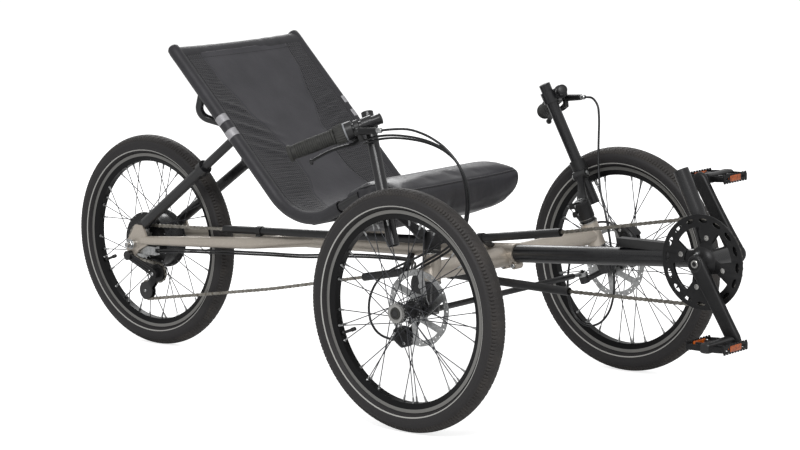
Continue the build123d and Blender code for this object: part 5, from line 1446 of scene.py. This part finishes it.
for name, hand in sides.items():
    body = f"{name}_steering"
    lean = (kingpinAt(hand, 400) - kingpinAt(hand, 300)).normalized()
    headset = bmesh.new()  # pressed cups and seals at both ends of the head tube
    turn(headset, kingpinAt(hand, steer["headTop"]) - lean * 1.2 * mm, lean,
        [(0, 17.0), (0, 20.6), (2.6, 20.6), (3.4, 19.4), (3.6, 14)], 36)
    turn(headset, kingpinAt(hand, steer["headLow"]) + lean * 0.8 * mm, -lean,
        [(0, 17.0), (0, 20.6), (2.4, 20.6), (3.2, 19.0), (3.4, 14)], 36)
    newPiece(f"{name}HeadsetCups", headset, "clearAnodised", "frame")
    stem = bmesh.new()
    base = kingpinAt(hand, steer["stemUp"])
    turn(stem, base - lean * 25.2 * mm, lean, [(0, 13.2), (0, 17.4), (4.4, 17.4), (4.8, 16.6), (5.6, 16.6),
        (6.0, 18.4), (8, 19.0), (40, 19.0), (43.6, 18.4), (45, 16.8), (45.2, 14.6), (47.0, 14.2),
        (48.6, 12.6), (49.0, 5.0), (47.4, 4.6)], 40)
    top, low = besideWheel(hand, *steer["uprightTop"]), besideWheel(hand, *steer["uprightLow"])
    slant = (top - low).normalized()
    collar = low + slant * ((steer["collarUp"] * mm - low.z) / slant.z)
    turn(stem, collar - slant * 20.4 * mm, slant, [(0, 12.8), (0, 16.2), (1, 17.2), (39.8, 17.2),
        (40.8, 16.2), (40.8, 12.8)], 36)
    link = (base - collar).normalized()
    linkSide = link.cross(slant).normalized()
    lug = collar + link * 20.0 * mm
    turn(stem, lug - linkSide * 15.5 * mm, linkSide, [(0, 9.0), (1.2, 11.4), (29.8, 11.4), (31, 9.0)], 28)
    bar(stem, [(collar + link * (x * mm), wide, thick) for x, wide, thick in steer["linkForm"]],
        linkSide, 3.0, 20)
    for rise in (-steer["pinchScrewAt"], steer["pinchScrewAt"]):  # pinch lugs on the clamp
        bar(stem, [(base + lean * (rise * mm) - left * (hand * x * mm) - ahead * 11 * mm, 6.6, 6.0)
                   for x in (9, 14, 20, 24)], lean, 3.4, 14)
    stemPiece = newPiece(f"{name}Stem", stem, "blackAnodised", body)
    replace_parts(stemPiece, f"{name}_stem")
    bolts = bmesh.new()
    screw(bolts, lug - linkSide * 15.5 * mm, -linkSide, 5.6, 3.4)
    screw(bolts, lug + linkSide * 15.5 * mm, linkSide, 5.6, 3.4)
    screw(bolts, base + lean * 23.2 * mm, lean, 4.4, 2.6)
    for rise in (-steer["pinchScrewAt"], steer["pinchScrewAt"]):
        spot = base + lean * (rise * mm) - left * (hand * 19 * mm) - ahead * 11 * mm
        screw(bolts, spot + ahead * 6 * mm, ahead, 3.4, 3.0)
        screw(bolts, collar + slant * (rise * mm) - link * 16.6 * mm, -link, 3.2, 2.6)
    newPiece(f"{name}StemScrews", bolts, "zincPlated", body)
    spacer = bmesh.new()
    turn(spacer, base - lean * 20.4 * mm, lean, [(0, 16.8), (0.2, 17.9), (1.6, 17.9), (1.8, 16.8)], 36)
    newPiece(f"{name}StemSpacer", spacer, "clearAnodised", body)

    front, back = besideWheel(hand, *steer["barFront"]), besideWheel(hand, *steer["barBack"])
    along = (back - front).normalized()
    length = (back - front).length / mm
    below = (-up + along * along.z).normalized()
    outside = (ahead - along * along.x).normalized()
    gripForm = bmesh.new()  # rubber sleeve: waisted, ribbed rings and a flange at each end
    start = steer["gripStart"][name]
    span = length + steer["gripOverhang"] - start
    profile = [(0, 12.0), (0, 16.4), (0.8, 17.2), (3.6, 17.2), (4.6, 16.0)]
    ribs = int((span - 17) / steer["ribPitch"])
    for k in range(ribs):
        x = 5.6 + k * steer["ribPitch"]
        full = 15.2 + 0.9 * sin(pi * k / (ribs - 1))
        profile += [(x, full - 0.5), (x + 0.5, full + 0.35), (x + 3.3, full + 0.35), (x + 3.8, full - 0.5)]
    profile += [(span - 9, 15.2), (span - 7.6, 17.6), (span - 6.6, 18.0), (span - 2.0, 18.0),
        (span - 0.6, 17.0), (span, 14.6), (span, 6.0), (span - 0.8, 5.0)]
    turn(gripForm, front + along * (start * mm), along, profile, 40)
    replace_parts(newPiece(f"{name}RubberGrip", gripForm, "gripRubber", body, 50), f"{name}_grip")
    plug = bmesh.new()  # domed plug in the bar's front end
    turn(plug, front + along * 6 * mm, -along,
         [(0, 9.6), (5.6, 9.6), (6.0, 11.6), (8.0, 11.6), (9.6, 9.8), (10.6, 5.6)], 28)
    turn(plug, top - slant * 5 * mm, slant,
         [(0, 11.0), (4.8, 11.0), (5.2, 12.9), (7.0, 12.7), (8.6, 10.0), (9.2, 5.0)], 28)
    newPiece(f"{name}BarPlugs", plug, "mouldedNylon", body)
    clampScrews = bmesh.new()
    clampMiddle = front + along * steer["clampAt"] * mm
    for shift in (-5.4, 5.4):
        screw(clampScrews, clampMiddle + along * (shift * mm) + outside * 13.6 * mm, outside, 3.2, 2.8)
    newPiece(f"{name}ClampScrews", clampScrews, "blackOxide", body)

    lever = bmesh.new()  # brake lever: hinged clamp, perch with barrel and a curved blade
    hold = front + along * steer["leverAt"] * mm
    turn(lever, hold - along * 5.4 * mm, along, [(0, 11.4), (0, 15.4), (0.8, 16.4), (10.0, 16.4),
        (10.8, 15.4), (10.8, 11.4)], 32)
    perch = hold + outside * 18 * mm
    tip = besideWheel(hand, *steer["perchEnd"])
    bar(lever, [(hold + outside * (x * mm), wide, thick) for x, wide, thick in steer["perchForm"]],
        along, 3.2, 18)
    reach = (tip - perch).normalized()
    far = (tip - perch).length / mm
    turn(lever, perch, reach, [(0, 8.4), (6, 7.8), (far - 14, 6.6), (far - 12.4, 6.6)], 24)
    pivot = perch + below * 16 * mm
    turn(lever, perch - below * 6 * mm, below, [(0, 5.4), (1.4, 6.2), (26, 6.2), (27.6, 5.2)], 20)
    knee = front + along * steer["kneeAt"] * mm + below * (steer["bladeBelow"] * mm)
    end = front + along * steer["bladeEnd"] * mm + below * (steer["bladeBelow"] * mm)
    path = []
    for k in range(7):  # from the pivot to the knee
        share = k / 6
        path.append((pivot.lerp(knee, share) + below * (3.2 * sin(pi * share) * mm),
                     7.4 - 1.8 * share, 3.2 - 0.8 * share))
    for k in range(1, 11):  # and back along the grip, with a finger hollow
        share = k / 10
        dip = -3.0 * sin(pi * min(share / 0.8, 1.0)) + 4.2 * max(0, share - 0.86) / 0.14
        path.append((knee.lerp(end, share) + below * (dip * mm), 5.6 - 0.6 * share, 2.4))
    bar(lever, path, outside, 2.4, 14)
    ball = end + below * 4.2 * mm
    turn(lever, ball - along * 4.0 * mm, along, [(0, 2.6), (1.2, 5.0), (4.4, 6.6), (7.6, 5.0), (8.8, 2.4)],
        20)
    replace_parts(newPiece(f"{name}BrakeLever", lever, "blackAnodised", body),
        f"{name}_brake_lever")
    small = bmesh.new()
    turn(small, tip - reach * 13 * mm, reach, [(0, 4.4), (0.6, 5.6), (3.4, 5.6), (4.0, 4.6), (4.6, 4.6),
        (5.2, 5.4), (11, 5.4), (12, 4.2), (13, 3.4)], 20)
    screw(small, perch - below * 6.4 * mm, -below, 4.0, 1.6)
    screw(small, hold - outside * 15.8 * mm, -outside, 3.0, 2.4)
    newPiece(f"{name}LeverBarrel", small, "zincPlated", body)

    # caliper: two arms over the disc, a round pad adjuster, a return spring and a cable barrel
    caliperAhead, caliperUp = steer["caliperAt"][name]
    facing = left * hand
    centre = besideWheel(hand, caliperAhead, steer["rotorSide"], hubHeight + caliperUp)
    out = (centre - besideWheel(hand, 0, steer["rotorSide"], hubHeight)).normalized()
    alongPad = out.cross(left).normalized()
    caliper = bmesh.new()
    for aside, thick, end in ((-15.0, 10.2, 22.5), (5.4, 3.4, 21.0)):
        armMiddle = centre + facing * (aside * mm)
        bar(caliper, [(armMiddle + alongPad * (x * mm) + out * (drop * mm), tall, thick) for x, tall, drop in
                      ((-end, 6, 4), (-end + 3, 11, 2), (-8, 16.0, 0), (8, 16.0, 0), (end - 3, 11, 2),
                       (end, 6, 4))], out, 3.2, 20)
    bar(caliper, [(centre + out * 13.5 * mm + facing * (x * mm), 16, 4.0) for x in (-20, -12, 0, 8.4)],
        alongPad, 3.2, 18)
    turn(caliper, centre - facing * 22 * mm, -facing, [(0, 13.6), (3.4, 13.6), (4.0, 12.8), (4.0, 9.6),
        (2.6, 9.4), (2.6, 6.0), (4.4, 5.6), (4.4, 2.4), (3.4, 2.2)], 36)
    arm = centre - facing * 19 * mm
    inlet = besideWheel(hand, *steer["inlets"][name])
    toInlet = (inlet - arm).normalized()
    gap = (inlet - arm).length / mm
    bar(caliper, [(arm + toInlet * (x * mm), wide, thick) for x, wide, thick in
                  ((0, 11, 3.2), (10, 9, 3.2), (gap * 0.55, 6.4, 3.0), (gap * 0.8, 6.0, 3.0))],
        toInlet.cross(facing), 3.0, 16)
    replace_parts(newPiece(f"{name}CaliperBody", caliper, "blackAnodised", body),
        f"{name}_caliper")
    fittings = bmesh.new()
    turn(fittings, inlet - toInlet * 16 * mm, toInlet, [(0, 3.0), (0, 5.0), (2.6, 5.0), (3.2, 4.0),
        (5.4, 4.0), (6.0, 5.4), (13.6, 5.4), (14.4, 4.4), (16, 3.4)], 22)
    for x in (-steer["padScrewAt"], steer["padScrewAt"]):
        screw(fittings, centre + alongPad * (x * mm) + out * 3 * mm + facing * 8.4 * mm, facing, 3.6, 2.6)
        screw(fittings, centre + alongPad * (x * mm) + out * 3 * mm - facing * 24.8 * mm, -facing, 3.6, 2.6)
    spring = [arm - facing * 3 * mm + toInlet * ((12 + 15 * k / 60) * mm)
              + (alongPad * cos(tau * k / 10) + facing * sin(tau * k / 10)) * (4.0 * mm) for k in range(61)]
    newPiece(f"{name}CaliperFittings", fittings, "zincPlated", body)
    hose(f"{name}ReturnSpring", spring, 0.8, "stainlessWire", body)
print("steering made")

# twist shifter on the right bar, its lighter indicator ring and the stub its cables leave by
front, back = besideWheel(-1, *steer["barFront"]), besideWheel(-1, *steer["barBack"])
along = (back - front).normalized()
below = (-up + along * along.z).normalized()
outside = (ahead - along * along.x).normalized()
shifter = bmesh.new()
turn(shifter, front + along * 59 * mm, along, [(0, 12), (0, 17.6), (1.0, 19.0), (14.6, 19.4), (15.4, 18.8)],
    40)
port = besideWheel(-1, -149.0, -43.5, 585.0)
stubStart = front + along * 70 * mm + below * 20 * mm - outside * 13 * mm
stubWay = (port - stubStart).normalized()
stubLength = (port - stubStart).length / mm
bar(shifter, [(stubStart + stubWay * (x * mm), wide, thick) for x, wide, thick in
              ((-8, 9, 8), (0, 9.4, 8.4), (stubLength - 8, 8.6, 6.2), (stubLength - 6.4, 7.6, 5.2))],
    along, 3.0, 18)
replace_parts(newPiece("shifterHousing", shifter, "mouldedNylon", "right_steering"), "twist_shifter")
indicator = bmesh.new()
turn(indicator, front + along * 74.2 * mm, along,
     [(0, 12), (0, 18.9), (0.4, 19.3), (3.2, 19.3), (3.6, 18.9), (3.6, 12)], 40)
newPiece("shifterRing", indicator, "greyNylon", "right_steering")
twist = bmesh.new()
knurls = 22
loops = []
for step, radius in ((77.9, 16.0), (78.2, 18.0), (80, 18.4), (96, 17.4), (99.6, 16.8), (100.4, 15.2),
                     (100.4, 12)):
    centre = front + along * (step * mm)
    loops.append([centre + (below * cos(a) + outside * sin(a)) *
                  ((radius + (0.55 if step > 79 and step < 97 else 0.1) * sin(knurls * a)) * mm)
                  for a in [tau * k / 132 for k in range(132)]])
loft(twist, loops)
newPiece("shifterGrip", twist, "gripRubber", "right_steering", 50)

# shift cables: two housings side by side from the shifter down to the frame and back to the hub
shiftRoute = {"front": [(-149, -41.5, 586), (-128, -41.5, 592), (-104, -43, 599), (-60, -46, 604),
    (-2, -51, 601), (39, -56, 591), (66, -60, 577), (85, -64, 560), (97, -68, 538), (103, -72, 508),
    (103, -76, 472), (95, -79, 436), (77, -80.5, 404), (52, -80.5, 379), (25, -71.5, 360), (-7, -62.5, 342),
    (-41, -69.5, 324), (-73, -100.5, 309), (-107, -138.5, 303), (-143, -182.5, 299), (-179, -224.5, 297)],
    "rear": [(902, 100, 293), (868, 62, 290), (824, 38, 287), (772, 32, 285), (716, 32, 283),
    (660, 36, 280), (604, 42, 276), (548, 50, 270), (492, 54, 267), (436, 58, 266), (380, 61, 263.4),
    (324, 63.5, 261), (268, 65, 257), (212, 67, 254.5), (158, 68, 251), (110, 66, 246), (64, 62, 241)],
    "apart": (0, 6.4, -6.4), "radius": 2.5, }
housings = []
for number in range(2):
    shift = at(*shiftRoute["apart"]) * number
    points = [besideWheel(-1, *p) + shift for p in shiftRoute["front"]]
    points += [fromRear(p[0], -p[1], p[2]) + shift for p in shiftRoute["rear"]]
    housings.append(points)
shiftShape = bmesh.new()
for points in housings:
    fine = []  # rounds the route: a quadratic arc about each point
    for k in range(1, len(points) - 1):
        a, b, c = (points[k - 1] + points[k]) / 2, points[k], (points[k] + points[k + 1]) / 2
        a = points[0] if k == 1 else a
        c = points[-1] if k == len(points) - 2 else c
        fine += [a * (1 - t) ** 2 + b * 2 * t * (1 - t) + c * t ** 2 for t in (0, 0.2, 0.4, 0.6, 0.8)]
    fine.append(points[-1])
    loops = []
    normal = up.copy()
    for k, place in enumerate(fine):
        way = (fine[min(k + 1, len(fine) - 1)] - fine[max(k - 1, 0)]).normalized()
        normal = (normal - way * normal.dot(way)).normalized()
        aside = way.cross(normal)
        loops.append([place
                      + (normal * cos(tau * j / 10) + aside * sin(tau * j / 10)) * (shiftRoute["radius"] * mm)
                      for j in range(10)])
    loft(shiftShape, loops)
shiftMesh = bpy.data.meshes.new("shiftHousings")
shiftShape.to_mesh(shiftMesh)
shiftShape.free()
shiftPiece = bpy.data.objects.new("shiftHousings", shiftMesh)
scene.collection.objects.link(shiftPiece)
for polygon in shiftMesh.polygons:
    polygon.use_smooth = True
shiftMesh.materials.append(makeFinish("cableHousing"))
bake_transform(shiftPiece)
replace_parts(shiftPiece, "shift_cable")

# small hardware on the frame
frameBolts = bmesh.new()
for x, z in ((325.9, 289.4), (353.8, 291.3)):  # boom clamp screws and their nuts
    screw(frameBolts, at(x, -11, z), -left, 5.4, 5.2)
    hexNut(frameBolts, at(x, 11, z), left, 6.4, 4.6)
for hand in (-1, 1):
    screw(frameBolts, at(-503, hand * 80, 451.9), left * hand, 5.4, 4.2)
    screw(frameBolts, at(-768.03, hand * 76.5, 258), left * hand, 4.4, 3.0)
newPiece("frameScrews", frameBolts, "zincPlated", "frame")
knob = bmesh.new()
turn(knob, at(-338, -92, 566), -left, [(0, 6), (3, 6), (3.6, 11.2), (5, 12.4), (13, 12.4), (15, 10.6),
    (15.6, 5)], 28)
turn(knob, at(-338, 92, 566), left, [(0, 6), (3, 6), (3.6, 9.2), (6, 9.8), (9, 9.4), (10, 6)], 28)
newPiece("backrestKnobs", knob, "mouldedNylon", "frame")
print("steering and hardware made")

print("scene ready")
